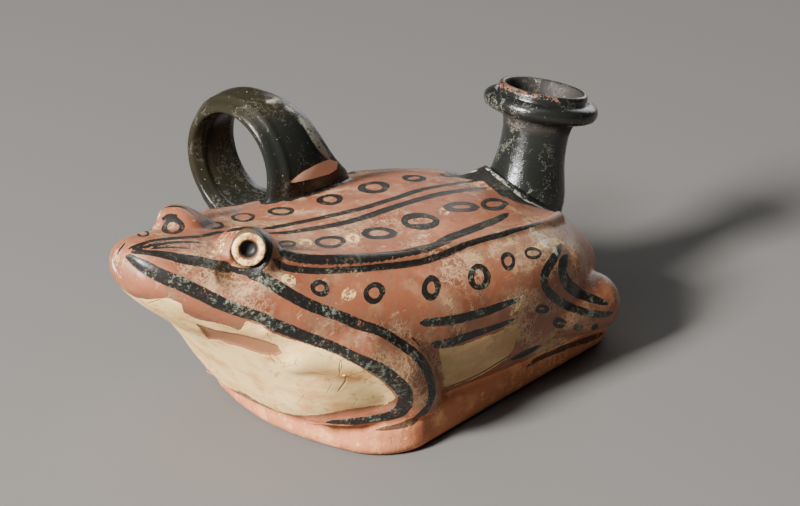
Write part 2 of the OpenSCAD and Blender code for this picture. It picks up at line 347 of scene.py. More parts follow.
def plinthOutline():
    p = plinth
    fx, rx = p["front"] + p["frontCorner"], p["back"] - p["backCorner"]
    fy, ry = p["frontWidth"] / 2 - p["frontCorner"], p["backWidth"] / 2 - p["backCorner"]

    def corner(x, y, r, start):
        turns = [math.radians(start + 90 * k / 8) for k in range(9)]
        return [(x + r * math.cos(a), y + r * math.sin(a)) for a in turns]

    frontEdge = [(fx - p["frontCorner"], fy * (1 - k / 4)) for k in range(1, 8)]
    loop = corner(rx, ry, p["backCorner"], 0) + corner(fx, fy, p["frontCorner"], 90) + frontEdge
    loop += corner(fx, -fy, p["frontCorner"], 180) + corner(rx, -ry, p["backCorner"], 270)
    bowed = []
    for x, y in loop:
        if x < fx:
            x -= p["bow"] * math.cos(math.pi / 2 * min(1, abs(2 * y / p["frontWidth"])))
        bowed.append((x, y))
    return bowed


def shapePlinth():
    outline = plinthOutline()
    startFresh()
    bpy.ops.mesh.primitive_circle_add(vertices=len(outline), radius=30, fill_type="NGON")
    slab = bpy.context.object
    places = placesOf(slab)
    order = np.argsort(np.arctan2(places[:, 1], places[:, 0]))
    ringOrder = sorted(outline, key=lambda p: math.atan2(p[1], p[0]))
    for index, (x, y) in zip(order, ringOrder):
        places[index] = (x, y, 0)
    putPlaces(slab, places)
    selectFaces(slab, allFaces(slab))
    bpy.ops.mesh.extrude_region_move(TRANSFORM_OT_translate={"value": (0, 0, plinthTop)})
    rework(slab, faceOutward)
    applyModifier(slab, "BEVEL", width=plinth["roundOver"], segments=4, angle_limit=math.radians(50))
    slab.name = "plinthClay"
    return slab


spout = {
    "seat": (28.6, 0.0, 25.8), "lean": 14.0, "skirt": 11.4,
    # (distance from the axis, height above the seat), from the spigot up the outside and down the bore
    "profile": [
        (4.8, -4.4), (8.0, -4.4), (8.2, 0.0), (8.3, 1.6), (8.15, 3.2), (7.9, 4.6), (7.5, 6.4),
        (7.1, 8.4), (6.8, 10.6), (6.7, 13.0), (6.75, 15.0), (7.0, 16.6), (7.5, 17.7), (8.3, 18.35),
        (9.3, 18.55), (10.4, 18.7), (11.2, 19.15), (11.6, 19.85), (11.68, 20.5), (11.5, 21.2),
        (11.0, 21.75), (10.3, 22.1), (9.7, 22.25), (9.3, 22.15), (9.1, 22.15), (9.0, 22.4), (9.1, 23.1),
        (8.95, 23.65), (8.6, 24.0), (8.2, 24.0), (7.85, 23.75), (7.6, 23.2), (7.35, 22.2), (6.8, 20.9),
        (6.0, 19.7), (5.2, 18.8), (4.8, 18.2), (4.8, 8.0),
    ],
    # Rows of the profile that the clay body is opened for, and how closely
    "footRows": (1, 9), "footLap": 0.5, "footFrom": -6.0,
    # The collar drawn up the spout's front: rings as (shift, height, turn, tilt, radius)
    "collar": [(0.0, 2.1, -25.0, 27.0, 8.6), (-3.6, 0.9, 0.0, 17.0, 11.6), (-3.0, -6.0, 0.0, 0.0, 8.6)],
}
spoutTurn = Matrix.Translation(spout["seat"]) @ Matrix.Rotation(math.radians(spout["lean"]), 4, "Y")
spoutAxis = np.array((spoutTurn.to_3x3() @ Vector((0, 0, 1)))[:])


def alongSpout(places):
    # How far each place lies up the spout's axis, and how far from it
    fromSeat = places - np.array(spout["seat"])
    up = fromSeat @ spoutAxis
    return up, np.linalg.norm(fromSeat - up[:, None] * spoutAxis, axis=1)


def shapeCollar():
    rings = []
    for shift, height, turn, tilt, radius in spout["collar"]:
        startFresh()
        bpy.ops.mesh.primitive_circle_add(vertices=96, radius=radius, fill_type="NGON")
        ring = bpy.context.object
        lean = math.radians(tilt)
        stretch = Matrix.Scale(1 / math.cos(lean), 4, (1, 0, 0)) if shift == 0 else Matrix.Identity(4)
        turned = Matrix.Rotation(math.radians(turn), 4, "Z") @ Matrix.Rotation(lean, 4, "Y") @ stretch
        ring.data.transform(Matrix.Translation((shift, 0, height)) @ turned)
        rings.append(ring)
    collar = joinAll(rings, "collar")
    rework(collar, bpy.ops.mesh.convex_hull)
    collar.data.transform(spoutTurn)
    return collar


handle = {
    "front": -27.0, "width": 12.5, "middle": (26.8, 42.3), "hole": 9.8, "ring": 12.0,
    # The strap's section: from the hole to its core, its edge and its crown, and its lining
    "core": 1.6, "edge": 1.45, "crown": 1.27, "crownAt": 0.3, "crownReach": 6.6, "lining": 1.3,
    # Ribs and grooves along the strap: (place across it, width, height)
    "outerRibs": [(-3.5, 0.42, 0.34), (-4.5, 0.5, -0.24)],
    "innerRibs": [(-3.9, 0.5, 0.3), (3.9, 0.6, 0.22), (-2.8, 0.5, -0.25)],
    # (angle round the ring from the frog's right, how far the tailward edge moves towards the tail)
    "flare": [(0, -1), (60, -2.0), (90, -2.0), (110, -0.6), (130, 0.9), (150, 2.0), (160, 2.8), (170, 3.8),
              (180, 5.2), (190, 6.9), (200, 8.9), (215, 11), (240, 8), (300, 0), (360, -1)],
    "flankRoot": [(-25.4, 34.4, 25.4, 3.1), (-16.0, 34.4, 25.4, 3.1), (-24, 26, 16, 3.1), (-11, 27.4, 14, 3.1)],
}


def ribsAt(across, ribs):
    return sum(height * np.exp(-((across - place) / width) ** 2) for place, width, height in ribs)


def shapeHandle():
    # A ring whose section is a strap: a smooth crown outside, with a fine rib near its front edge
    startFresh()
    bpy.ops.mesh.primitive_torus_add(major_segments=160, minor_segments=96, major_radius=handle["ring"],
                                     minor_radius=2)
    ring = bpy.context.object
    places = placesOf(ring)
    around = np.arctan2(places[:, 1], places[:, 0])
    turn = np.arctan2(places[:, 2], np.hypot(places[:, 0], places[:, 1]) - handle["ring"])
    half = handle["width"] / 2
    across = half * np.sign(np.sin(turn)) * np.abs(np.sin(turn)) ** 0.75
    spread = np.clip(np.abs(np.cos(turn)), 0, 1) ** 0.62
    bulge = np.clip(1 - ((across - handle["crownAt"]) / handle["crownReach"]) ** 2, 0, 1)
    crown = handle["edge"] + handle["crown"] * bulge
    core = handle["hole"] + handle["core"]
    outer = core + spread * crown + ribsAt(across, handle["outerRibs"])
    inner = core - spread * handle["lining"] - ribsAt(across, handle["innerRibs"]) * spread
    radius = np.where(np.cos(turn) >= 0, outer, inner)
    angles, shifts = np.array(handle["flare"]).T
    flare = np.interp(np.degrees(around) % 360, angles, shifts)
    across = across + flare * np.clip(0.5 + across / handle["width"], 0, 1) ** 1.5
    putPlaces(ring, np.stack([handle["front"] + half + across, handle["middle"][0] + radius * np.cos(around),
                              handle["middle"][1] + radius * np.sin(around)], axis=1))
    root = lumpOfClay(handle["flankRoot"], "flankRoot")
    startFresh()
    bpy.ops.mesh.primitive_cylinder_add(
        vertices=96, radius=handle["hole"] + handle["lining"], depth=80,
        location=(handle["front"], *handle["middle"]), rotation=(0, math.pi / 2, 0))
    finger = bpy.context.object
    applyModifier(root, "BOOLEAN", object=finger, operation="DIFFERENCE", solver="EXACT")
    bpy.data.objects.remove(finger)
    return joinAll([ring, root], "handleClay")


def skinOf(piece):
    mesh = piece.data
    return BVHTree.FromPolygons([v.co for v in mesh.vertices], [tuple(p.vertices) for p in mesh.polygons])


farGap = 6.0


def gapsTo(skin, places):
    # How far each place stands out from the skin: below nought inside, and at most farGap
    gaps = np.full(len(places), farGap)
    for i, place in enumerate(places):
        found = skin.find_nearest(place, farGap)
        if found[0] is not None:
            side = (Vector(place) - found[0]).dot(found[1])
            gaps[i] = found[3] if side >= 0 else -found[3]
    return gaps


trunkClay = shapeTrunk()
trimUnderside(trunkClay, plinthTop - luting)
forelegs = pairOfRolls(limbs["foreleg"], "ForelegClay")
hindLegs = pairOfRolls(limbs["hindLeg"], "HindLegClay")
ridges = pairOfRolls(limbs["ridge"], "RidgeClay")
farRidge = {"sink": 0.7, "fullAt": -22.0, "noneAt": -2.0}
ridgePlaces = placesOf(ridges[1])
ridgePlaces[:, 2] -= farRidge["sink"] * np.clip(
    (farRidge["noneAt"] - ridgePlaces[:, 0]) / (farRidge["noneAt"] - farRidge["fullAt"]), 0, 1)
putPlaces(ridges[1], ridgePlaces)
brows = [rollOfClay(limbs["leftBrow"], "leftBrowClay"), rollOfClay(limbs["rightBrow"], "rightBrowClay")]
lumps = {
    "trunk": trunkClay, "plinth": shapePlinth(), "collar": shapeCollar(), "handle": shapeHandle(),
    "forelegLeft": forelegs[0], "forelegRight": forelegs[1], "hindLeft": hindLegs[0], "hindRight": hindLegs[1],
    "ridgeLeft": ridges[0], "ridgeRight": ridges[1], "browLeft": brows[0], "browRight": brows[1],
}
print("lumps of clay shaped")

skins = {name: skinOf(lump) for name, lump in lumps.items()}
clay = joinAll(list(lumps.values()), "clayFrog")
sculpt = {
    "grain": 0.42, "filletReach": 2.6, "filletPasses": 26, "allPasses": 3, "levels": 10,
    "ribGap": 1.0, "ribStands": 2.2, "ridgeGap": 1.2, "ridgeAside": 13.0, "ridgeShare": 0.1,
    "eyeKept": 6.0, "eyeFade": 4.0,
    # The fold between the throat and the forelegs is worked most: its line in the picture
    "fold": [(308, 360), (326, 365), (344, 374), (360, 378)], "foldReach": 15.0, "foldShare": 1.6,
    "foldBefore": -20.0,
}
applyModifier(clay, "REMESH", mode="VOXEL", voxel_size=sculpt["grain"], use_smooth_shade=True)
print("one mass of clay:", len(clay.data.polygons), "faces")

# Where two lumps meet, the clay is worked into a soft hollow
places = placesOf(clay)
gaps = {name: gapsTo(skin, places) for name, skin in skins.items()}
ranked = np.sort(np.stack([np.abs(g) for g in gaps.values()]), axis=0)
work = np.clip(1 - ranked[1] / sculpt["filletReach"], 0, 1)
onRib = np.abs(gaps["handle"]) < sculpt["ribGap"]
work = np.where(onRib & (gaps["trunk"] > sculpt["ribStands"]), 0, work)
onRidge = np.minimum(np.abs(gaps["ridgeLeft"]), np.abs(gaps["ridgeRight"])) < sculpt["ridgeGap"]
work = np.where(onRidge & (np.abs(places[:, 1]) > sculpt["ridgeAside"]), sculpt["ridgeShare"] * work, work)


def seenFolded(places):
    # Where the places are seen, with the frog's far side folded onto the near one
    return toPicture(np.column_stack([places[:, 0], -np.abs(places[:, 1]), places[:, 2]]))


seen = seenFolded(places)
fromFold = np.min([np.hypot(*(seen - spot).T) for spot in sculpt["fold"]], axis=0)
foldWork = np.clip(sculpt["foldShare"] - fromFold / sculpt["foldReach"], 0, 1)
work = np.where(places[:, 0] < sculpt["foldBefore"], np.maximum(work, foldWork), work)
atEye = [np.array(eyeTurn(side).translation[:]) for side in (-1, 1)]
nearEye = np.minimum(*[np.linalg.norm(places - eye, axis=1) for eye in atEye])
work = work * np.clip((nearEye - sculpt["eyeKept"]) / sculpt["eyeFade"], 0, 1)
softGroup = clay.vertex_groups.new(name="fillets")
levels = sculpt["levels"]
for level in range(1, levels + 1):
    members = np.nonzero(np.round(work * levels) == level)[0]
    if len(members):
        softGroup.add(members.tolist(), level / levels, "REPLACE")
applyModifier(clay, "SMOOTH", factor=0.5, iterations=sculpt["filletPasses"], vertex_group="fillets")
places = placesOf(clay)
for side in (-1, 1):
    places = pressRoundEye(places, side)
putPlaces(clay, places)
applyModifier(clay, "SMOOTH", factor=0.5, iterations=sculpt["allPasses"])
print("fillets worked")

# Painted lines as they are seen through the camera: points, widths along them, and whether
# the other side of the frog has the same line
paintLines = {
    "mouthBand": {
        "points": [(127, 257), (140, 265), (160, 276), (180, 284), (200, 294), (220, 304), (240, 312),
                   (260, 318), (280, 327), (300, 335), (320, 342), (340, 350), (360, 360), (380, 370),
                   (394, 381), (404, 392), (405, 403), (400, 411), (388, 417), (370, 420), (350, 422),
                   (327, 422)],
        "widths": [8, 13, 15, 15, 15, 15, 14, 12, 13, 12, 11, 10, 11, 14, 15, 16, 15, 13, 9, 8, 7, 3],
        "both": True},
    "armStripe": {
        "points": [(247, 272), (262, 277), (280, 288), (300, 300), (320, 309), (340, 316), (360, 325),
                   (380, 331), (400, 343), (417, 356), (427, 370), (431, 384), (432, 396), (427, 408),
                   (417, 418), (400, 426), (376, 430)],
        "widths": [12, 13, 13, 12, 12, 11, 11, 10, 10, 10, 9, 8, 7, 6, 6, 6, 3],
        "both": True},
    "eyeBand": {
        "points": [(252, 227), (262, 232), (269, 243), (268, 256), (262, 266), (250, 271), (238, 271),
                   (229, 266)],
        "widths": [3, 6, 7, 8, 8, 8, 7, 4], "both": True},
    "underEye": {
        "points": [(132, 253), (150, 253), (165, 255), (180, 258), (200, 261), (218, 265), (232, 269)],
        "widths": [4, 6, 8, 10, 11, 11, 9], "both": True},
    "spineUpper": {
        "points": [(130, 249), (138, 245), (150, 241), (165, 239), (180, 238), (200, 237), (215, 233),
                   (228, 231), (240, 229), (258, 229), (285, 225), (311, 220), (338, 214), (365, 208),
                   (392, 199), (419, 190), (454, 184), (481, 180)],
        "widths": [3, 3, 3, 4, 4, 4, 4, 4, 4, 5, 5, 5, 5, 5, 5, 5, 4, 3], "both": False},
    "spineLower": {
        "points": [(267, 233), (289, 232), (311, 229), (330, 226), (351, 221), (383, 211), (419, 199),
                   (445, 193), (486, 188)],
        "widths": [4, 5, 6, 6, 6, 6, 6, 6, 5], "both": False},
    "headSecond": {
        "points": [(133, 250), (145, 247), (160, 244), (175, 242), (190, 242), (202, 243)],
        "widths": [2, 3, 3, 3, 3, 2], "both": False},
    "headThird": {"points": [(150, 249), (170, 247), (189, 248)], "widths": [2, 2, 2], "both": False},
    "ridgeUpper": {
        "points": [(278, 249), (290, 255), (300, 258), (320, 259.5), (340, 259), (360, 258), (380, 256),
                   (400, 252.5), (420, 248), (440, 242), (460, 235), (480, 227), (498, 219), (508, 213)],
        "widths": [7, 9, 10, 10, 10, 10, 10, 9, 9, 9, 8, 8, 7, 5], "both": True},
    "ridgeLower": {
        "points": [(274, 260), (284, 267), (300, 270), (320, 271), (340, 270), (360, 269), (380, 267),
                   (400, 265), (420, 262), (440, 256), (460, 247), (480, 240), (500, 235), (515, 230),
                   (530, 226), (541, 222)],
        "widths": [6, 7, 7, 7, 7, 7, 7, 7, 7, 7, 7, 6, 6, 5, 4, 3], "both": True},
    "flankUpper": {
        "points": [(421, 323), (436, 322), (452, 320), (470, 316), (488, 311), (504, 305), (520, 299)],
        "widths": [7, 9, 9, 9, 9, 7, 4], "both": True},
    "flankLower": {
        "points": [(432, 344), (442, 344), (452, 342), (466, 337), (481, 332), (499, 326), (515, 319)],
        "widths": [7, 9, 9, 8, 7, 5, 3], "both": True},
    "haunchOuter": {
        "points": [(561, 244), (555, 256), (549, 266), (544, 277), (546, 289), (557, 300), (570, 307),
                   (585, 312), (601, 315), (613, 313)],
        "widths": [5, 8, 9, 8, 8, 9, 9, 8, 7, 4], "both": True},
    "haunchInner": {
        "points": [(567, 255), (562, 266), (564, 278), (572, 288), (584, 295), (597, 300), (608, 304)],
        "widths": [6, 10, 11, 11, 10, 8, 4], "both": True},
    "footFront": {
        "points": [(511, 359), (522, 354), (532, 350), (541, 346)],
        "widths": [4, 7, 7, 4], "both": True},
    "footUpper": {
        "points": [(527, 367), (536, 360), (547, 355), (558, 351), (568, 348)],
        "widths": [3, 4, 5, 4, 3], "both": True},
    "footLower": {
        "points": [(556, 349), (568, 346), (580, 342), (592, 338), (603, 333)],
        "widths": [3, 5, 6, 6, 4], "both": True},
    "moundBlob": {"points": [(163, 219), (169, 215), (176, 216)], "widths": [6, 8, 5], "both": False},
    "snoutMark": {"points": [(125, 242), (121, 248), (118, 255)], "widths": [3, 4, 3], "both": False},
    "farMoundRim": {
        "points": [(144, 225), (152, 215), (164, 208), (176, 206), (187, 209), (195, 216)],
        "widths": [2, 3, 3, 3, 3, 2], "both": False},
    "handleBase": {
        "points": [(262, 203), (276, 196), (292, 191), (313, 185), (332, 179), (346, 174), (354, 172)],
        "widths": [8, 9, 8, 7, 8, 7, 4], "both": False},
    "throatCrack": {"points": [(446, 387), (462, 382), (480, 374), (496, 364), (510, 355)],
                    "widths": [1.2, 1.4, 1.6, 1.4, 1], "both": True},
    "elbowMark": {"points": [(411, 337), (416, 341), (419, 346)], "widths": [2, 4, 2], "both": True},
}
# Painted rings: middle, width, height and line, in the picture
paintRings = {
    "farRow": {"both": False, "rings": [
        (213, 225, 23, 10, 3), (243, 217, 25, 11, 3.5), (281, 211, 28, 10, 4), (330, 200, 26, 14, 5),
        (374, 187, 31, 15, 6), (414, 178, 24, 10, 5), (450, 175, 20, 8, 4)]},
    "nearRow": {"both": False, "rings": [
        (287, 244, 20, 8, 3), (330, 242, 31, 14, 4), (379, 233, 33, 15, 5), (420, 221, 40, 17, 6),
        (461, 207, 33, 14, 6), (494, 204, 28, 14, 5)]},
    "flankRow": {"both": True, "rings": [
        (320, 288, 20, 17, 5), (374, 293, 22, 22, 5.5), (431, 288, 20, 25, 6), (479, 277, 22, 29, 6),
        (508, 261, 16, 18, 4), (533, 253, 19, 12, 3)]},
    "shank": {"both": True, "rings": [
        (542, 309, 13, 10, 3.5), (559, 323, 14, 11, 4), (578, 328, 9, 7, 4), (595, 327, 8, 6, 4)]},
    "browSpot": {"both": False, "rings": [(173, 227, 23, 19, 5)]},
    "nostril": {"both": False, "rings": [(143, 234, 13, 7, 2.5)]},
}
creamRings = {
    "flank": {"both": True, "rings": [(289, 280, 15, 14, 5), (349, 294, 15, 14, 6)]},
    "back": {"both": False, "rings": [(353, 238, 13, 11, 3.5), (444, 212, 12, 9, 3), (306, 243, 14, 9, 3)]},
}
# Pale rubbed places, painted with the cream strokes
paleMarks = {
    "rump": {"points": [(532, 249), (544, 244), (556, 241), (564, 243)], "widths": [5, 9, 8, 4]},
    "behindLine": {"points": [(511, 314), (517, 307), (521, 300)], "widths": [5, 9, 5]},
    "besideEye": {"points": [(211, 257), (216, 251), (223, 244)], "widths": [6, 9, 5]},
}
# Patches seen in the picture, with both sides of the frog folded onto the near one
patches = {
    "throat": [(100, 270), (126, 296), (150, 300), (166, 297), (182, 303), (184, 312), (200, 320), (222, 323),
               (240, 330), (246, 322), (262, 327), (282, 337), (302, 343), (322, 349), (342, 357), (362, 368),
               (380, 380), (392, 391), (396, 398), (388, 404), (366, 407), (340, 411), (318, 415), (298, 415),
               (278, 412), (258, 402), (238, 390), (216, 374), (190, 372), (120, 330)],
    "flake": [(196, 323), (216, 330), (240, 334), (262, 340), (278, 346), (282, 354), (276, 357), (262, 356),
              (240, 348), (222, 342), (208, 340)],
    "belly": [(439, 348), (452, 348), (470, 343), (488, 336), (506, 329), (517, 324), (519, 332), (513, 350),
              (506, 359), (481, 376), (460, 384), (445, 388)],
    "skirt": [(460, 164), (470, 172), (485, 183), (500, 195), (520, 203), (540, 208), (556, 213), (574, 216),
              (584, 150), (474, 140)],
    "reserve": [(287, 184), (302, 172), (317, 164), (330, 159), (338, 162), (337, 169), (330, 174), (312, 179)],
}
# Rubbed and dusty places: middle and reach in the picture, and how strong. The two on the arm, at (398, 362) and
# (425, 400), are painted light: paler where the lamp falls on the arm
rubbedPlacesAndPaintedLight = [
    (545, 243, 22, 1.0), (520, 262, 18, 0.8), (500, 243, 20, 0.8), (521, 302, 13, 1.0), (519, 326, 12, 0.9),
    (470, 262, 15, 0.7), (452, 272, 12, 0.7), (215, 285, 17, 0.6), (240, 296, 14, 0.8), (190, 258, 12, 0.5),
    (210, 262, 10, 0.7), (550, 352, 18, 0.8), (443, 300, 12, 0.6), (395, 330, 13, 0.7), (300, 240, 18, 0.6),
    (345, 232, 16, 0.6), (118, 262, 9, 0.7), (265, 280, 14, 0.7), (330, 318, 16, 0.5), (420, 232, 14, 0.5),
    (575, 318, 16, 0.6), (262, 212, 14, 0.5), (345, 195, 14, 0.5),
    # The first two here are painted light, where the lamp falls on the arm
    (398, 362, 22, 0.6), (425, 400, 12, 0.5), (135, 262, 8, 0.6),
]
# Where lime has settled: at the foot of the spout, on the strap, in the folds and on the snout. Along the
# strap's back edge the pale band is a painted highlight, where a lamp's reflection would lie
limeAndHighlightMarks = {
    # A painted highlight: the pale band where a lamp's reflection would lie on the strap's back edge
    "strapEdgeHighlight": {"points": [(300, 118), (308, 128), (315, 139), (322, 149), (329, 158)],
                  "widths": [5, 7, 8, 8, 5]},
    "strapChip": {"points": [(287, 107), (290, 109), (293, 111)], "widths": [5, 8, 5]},
    "strapScratch": {"points": [(267, 102), (273, 101), (279, 99)], "widths": [4, 5, 4]},
    "footOfSpout": {"points": [(486, 168), (495, 175), (506, 183), (517, 192), (528, 201), (542, 208)],
                    "widths": [3, 4, 5, 6, 7, 4]},
    "rumpFlakes": {"points": [(531, 230), (540, 236), (549, 244), (557, 254)], "widths": [6, 14, 16, 6]},
    "flankFold": {"points": [(511, 307), (517, 302), (524, 295)], "widths": [3, 6, 3]},
    "snoutFlakes": {"points": [(112, 261), (114, 269), (120, 277)], "widths": [3, 6, 3]},
}

claySkin = skinOf(clay)


def landOn(x, y):
    hit = claySkin.ray_cast(Vector(eyePoint), Vector(sightLine(x, y)))
    return None if hit[0] is None else (np.array(hit[0][:]), np.array(hit[1][:]))


def throughPoints(points, widths, step=3.0):
    # The brush's path between the given points, in short steps
    rows = np.column_stack([points, widths])
    lengths = np.hypot(*np.diff(rows[:, :2], axis=0).T)
    count = max(3, int(lengths.sum() / step))
    return curveThrough(rows, np.linspace(0, len(rows) - 1, count))


def eased(rows, passes):
    # Each row becomes the mean of itself and its neighbours
    for _ in range(passes):
        padded = np.vstack([rows[:1], rows, rows[-1:]])
        rows = 0.25 * padded[:-2] + 0.5 * rows + 0.25 * padded[2:]
    return rows


# How a stroke follows the clay: the leap that lifts the brush, in millimetres, the passes that ease
# its places, facings and widths, and how it thins towards its ends
brushing = {"leap": 6.0, "placePasses": 2, "facingPasses": 12, "widthPasses": 8, "probe": 0.1,
            "leastPerMm": 3.0, "endWidth": 0.45, "endRise": 0.3, "finer": 4}


def brushPath(rows, both, closed=False):
    # The path laid on the clay: place, direction, normal and half width of every short step
    found = [(landOn(x, y), width) for x, y, width in rows]
    runs, run = [], []
    for hit, width in found:
        if hit is None or (run and np.linalg.norm(hit[0] - run[-1][0]) > brushing["leap"]):
            runs.append(run)
            run = []
        if hit is not None:
            run.append((hit[0], hit[1], width))
    runs.append(run)
    steps = []
    for run in [r for r in runs if len(r) > 1]:
        spots = eased(np.array([r[0] for r in run]), brushing["placePasses"])
        normals = np.array([r[1] for r in run])
        widths = np.array([r[2] for r in run])
        ahead = asUnit(np.gradient(spots, axis=0))
        normals = eased(normals, brushing["facingPasses"])
        across = np.cross(normals, ahead)
        probe = brushing["probe"]
        seenAcross = toPicture(spots + probe * across) - toPicture(spots)
        seenAhead = asUnit(toPicture(spots + probe * ahead) - toPicture(spots))
        turned = seenAcross[:, 0] * seenAhead[:, 1] - seenAcross[:, 1] * seenAhead[:, 0]
        perMm = 1 / probe * np.abs(turned)
        halves = widths / 2 / np.clip(perMm, brushing["leastPerMm"], None)
        fromEnd = np.minimum(np.arange(len(run)), np.arange(len(run))[::-1])
        taper = 1 if closed else np.clip(brushing["endWidth"] + brushing["endRise"] * fromEnd, 0, 1)
        halves = eased(halves[:, None], brushing["widthPasses"])[:, 0] * taper
        fine = np.linspace(0, len(run) - 1, (len(run) - 1) * brushing["finer"] + 1)
        keep = [np.stack([np.interp(fine, np.arange(len(run)), column) for column in table.T], axis=1)
                for table in (spots, ahead, normals, halves[:, None])]
        steps.append(np.hstack(keep))
        if both:
            flip = np.hstack(keep)
            flip[:, [1, 4, 7]] *= -1
            away = np.einsum("ij,ij->i", eyePoint - flip[:, :3], flip[:, 6:9]) < 0
            steps.append(flip[away])
    return steps


def ringPath(x, y, width, height, line, both):
    turns = np.linspace(0, 2 * math.pi, 29)
    uneven = 1 + 0.05 * np.sin(2 * turns + x) + 0.04 * np.sin(3 * turns + y)
    rows = np.column_stack([x + (width - line) / 2 * np.cos(turns) * uneven,
                            y + (height - line) / 2 * np.sin(turns) * uneven,
                            line * (1 + 0.25 * np.sin(turns * 2 + x))])
    return brushPath(rows, both, closed=True)


def marksOf(marks):
    paths = []
    for mark in marks.values():
        paths += brushPath(throughPoints(mark["points"], mark["widths"]), mark.get("both", True))
    return paths


def ringsOf(families):
    paths = []
    for family in families.values():
        for ring in family["rings"]:
            paths += ringPath(*ring, family["both"])
    return paths


def treeOf(spots):
    tree = KDTree(len(spots))
    for i, spot in enumerate(spots):
        tree.insert(spot, i)
    tree.balance()
    return tree


def layPaint(steps, places, name):
    # For each point of the clay: how far across the nearest stroke it lies, and how far beyond its edge
    tree = treeOf(steps[:, :3])
    step = steps[[tree.find(place)[1] for place in places]]
    offset = places - step[:, :3]
    across = asUnit(np.cross(asUnit(step[:, 6:9]), step[:, 3:6]))
    side = np.einsum("ij,ij->i", offset, across)
    keepAttribute(clay, name + "Side", np.clip(side / step[:, 9], -farOff, farOff))
    keepAttribute(clay, name + "Gap", np.linalg.norm(offset, axis=1) - step[:, 9])


# Stand for well outside a patch, in millimetres, and far from a stroke
outside = -5.0
farOff = 30.0


def keepAttribute(piece, name, values):
    layer = piece.data.attributes.new(name, "FLOAT", "POINT")
    layer.data.foreach_set("value", values.astype(np.float32))


def patchDepth(name, seen):
    # Signed distance into a patch, in millimetres: positive inside
    loop = np.array(patches[name], dtype=float)
    inside = np.zeros(len(seen), dtype=bool)
    depth = np.full(len(seen), 1e9)
    for a, b in zip(loop, np.roll(loop, -1, axis=0)):
        crosses = (a[1] > seen[:, 1]) != (b[1] > seen[:, 1])
        rise = b[1] - a[1] if b[1] != a[1] else 1e-9
        inside ^= crosses & (seen[:, 0] < a[0] + (seen[:, 1] - a[1]) * (b[0] - a[0]) / rise)
        t = np.clip(((seen - a) @ (b - a)) / ((b - a) @ (b - a)), 0, 1)
        depth = np.minimum(depth, np.linalg.norm(seen - a - t[:, None] * (b - a), axis=1))
    return np.where(inside, depth, -depth) * lookout["millimetresPerStep"]


places = placesOf(clay)
linePaths = marksOf(paintLines) + ringsOf(paintRings)
lineSteps = np.vstack(linePaths)
wideHalf = 0.62
layPaint(lineSteps[lineSteps[:, 9] >= wideHalf], places, "wide")
layPaint(lineSteps[lineSteps[:, 9] < wideHalf], places, "fine")
layPaint(np.vstack(ringsOf(creamRings) + marksOf(paleMarks)), places, "cream")
seen = seenFolded(places)
normals = rowsOf(clay.data.vertices, "normal")
# Where each coat of paint ends on the clay, in millimetres
ends = {
    "throatBack": -18.0, "throatFoot": plinthTop + 0.3, "bellyFront": -24.0, "skirtFoot": 28.0,
    "skirtReach": 17.5, "strapLap": 0.9, "strapRoot": -1.0, "reserve": (5.0, 22.0),
}
throat = np.where(places[:, 0] > ends["throatBack"], outside, patchDepth("throat", seen))
keepAttribute(clay, "throat", np.where(places[:, 2] < ends["throatFoot"], outside, throat))
keepAttribute(clay, "flake", patchDepth("flake", seen))
offBelly = (places[:, 0] < ends["bellyFront"]) | (places[:, 2] < plinthTop)
keepAttribute(clay, "belly", np.where(offBelly, outside, patchDepth("belly", seen)))
# How rubbed each place is; on the arm this is painted light
rubbed = np.zeros(len(places))
for x, y, reach, strength in rubbedPlacesAndPaintedLight:
    away = np.hypot(seen[:, 0] - x, seen[:, 1] - y) / reach
    rubbed = np.maximum(rubbed, strength * np.exp(-away ** 2))
keepAttribute(clay, "rubbed", rubbed)
# Dust lies thickest low down, and a little thinner towards the tail
dust = {"below": 268, "above": 0.25, "tailFrom": 300, "tail": 0.9}
keepAttribute(clay, "dusted", np.where(seen[:, 1] > dust["below"], 1.0, dust["above"])
              * np.where(seen[:, 0] > dust["tailFrom"], dust["tail"], 1.0))
up, fromAxis = alongSpout(places)
gaps = {name: gapsTo(skins[name], places) for name in ("trunk", "handle")}
skirt = np.minimum(patchDepth("skirt", seen), ends["skirtReach"] - fromAxis)
black = np.maximum(spout["skirt"] - fromAxis, np.where(places[:, 2] > ends["skirtFoot"], skirt, outside))
onStrap = np.where(gaps["trunk"] > ends["strapRoot"], ends["strapLap"] - gaps["handle"], outside)
keepAttribute(clay, "black", np.maximum(black, onStrap))
# The strap's gloss is thinner on its outer side: angles round the ring, and how thin
around = np.degrees(np.arctan2(places[:, 2] - handle["middle"][1], places[:, 1] - handle["middle"][0])) % 360
keepAttribute(clay, "thinGloss", np.interp(around, [0, 90, 140, 200, 300, 360], [1, 1, 0.3, 0, 0.4, 1]))
atRoot = (places[:, 1] < ends["reserve"][1]) & (places[:, 1] > ends["reserve"][0])
keepAttribute(clay, "reserve", np.where(atRoot, patchDepth("reserve", toPicture(places)), outside))
# Lime marks, and the painted highlight along the strap's back edge, laid as strokes
limeAndHighlightSteps = np.vstack(marksOf(limeAndHighlightMarks))
layPaint(limeAndHighlightSteps, places, "lime")
limeAndHighlightTree = treeOf(limeAndHighlightSteps[:, :3])
limeAndHighlightReach = 2.2


def limeAndHighlightNear(places):
    return np.clip(1 - np.array([limeAndHighlightTree.find(place)[2] for place in places]) / limeAndHighlightReach, 0, 1)


keepAttribute(clay, "limeAndHighlightNear", limeAndHighlightNear(places))
print("paint laid:", len(linePaths), "strokes")

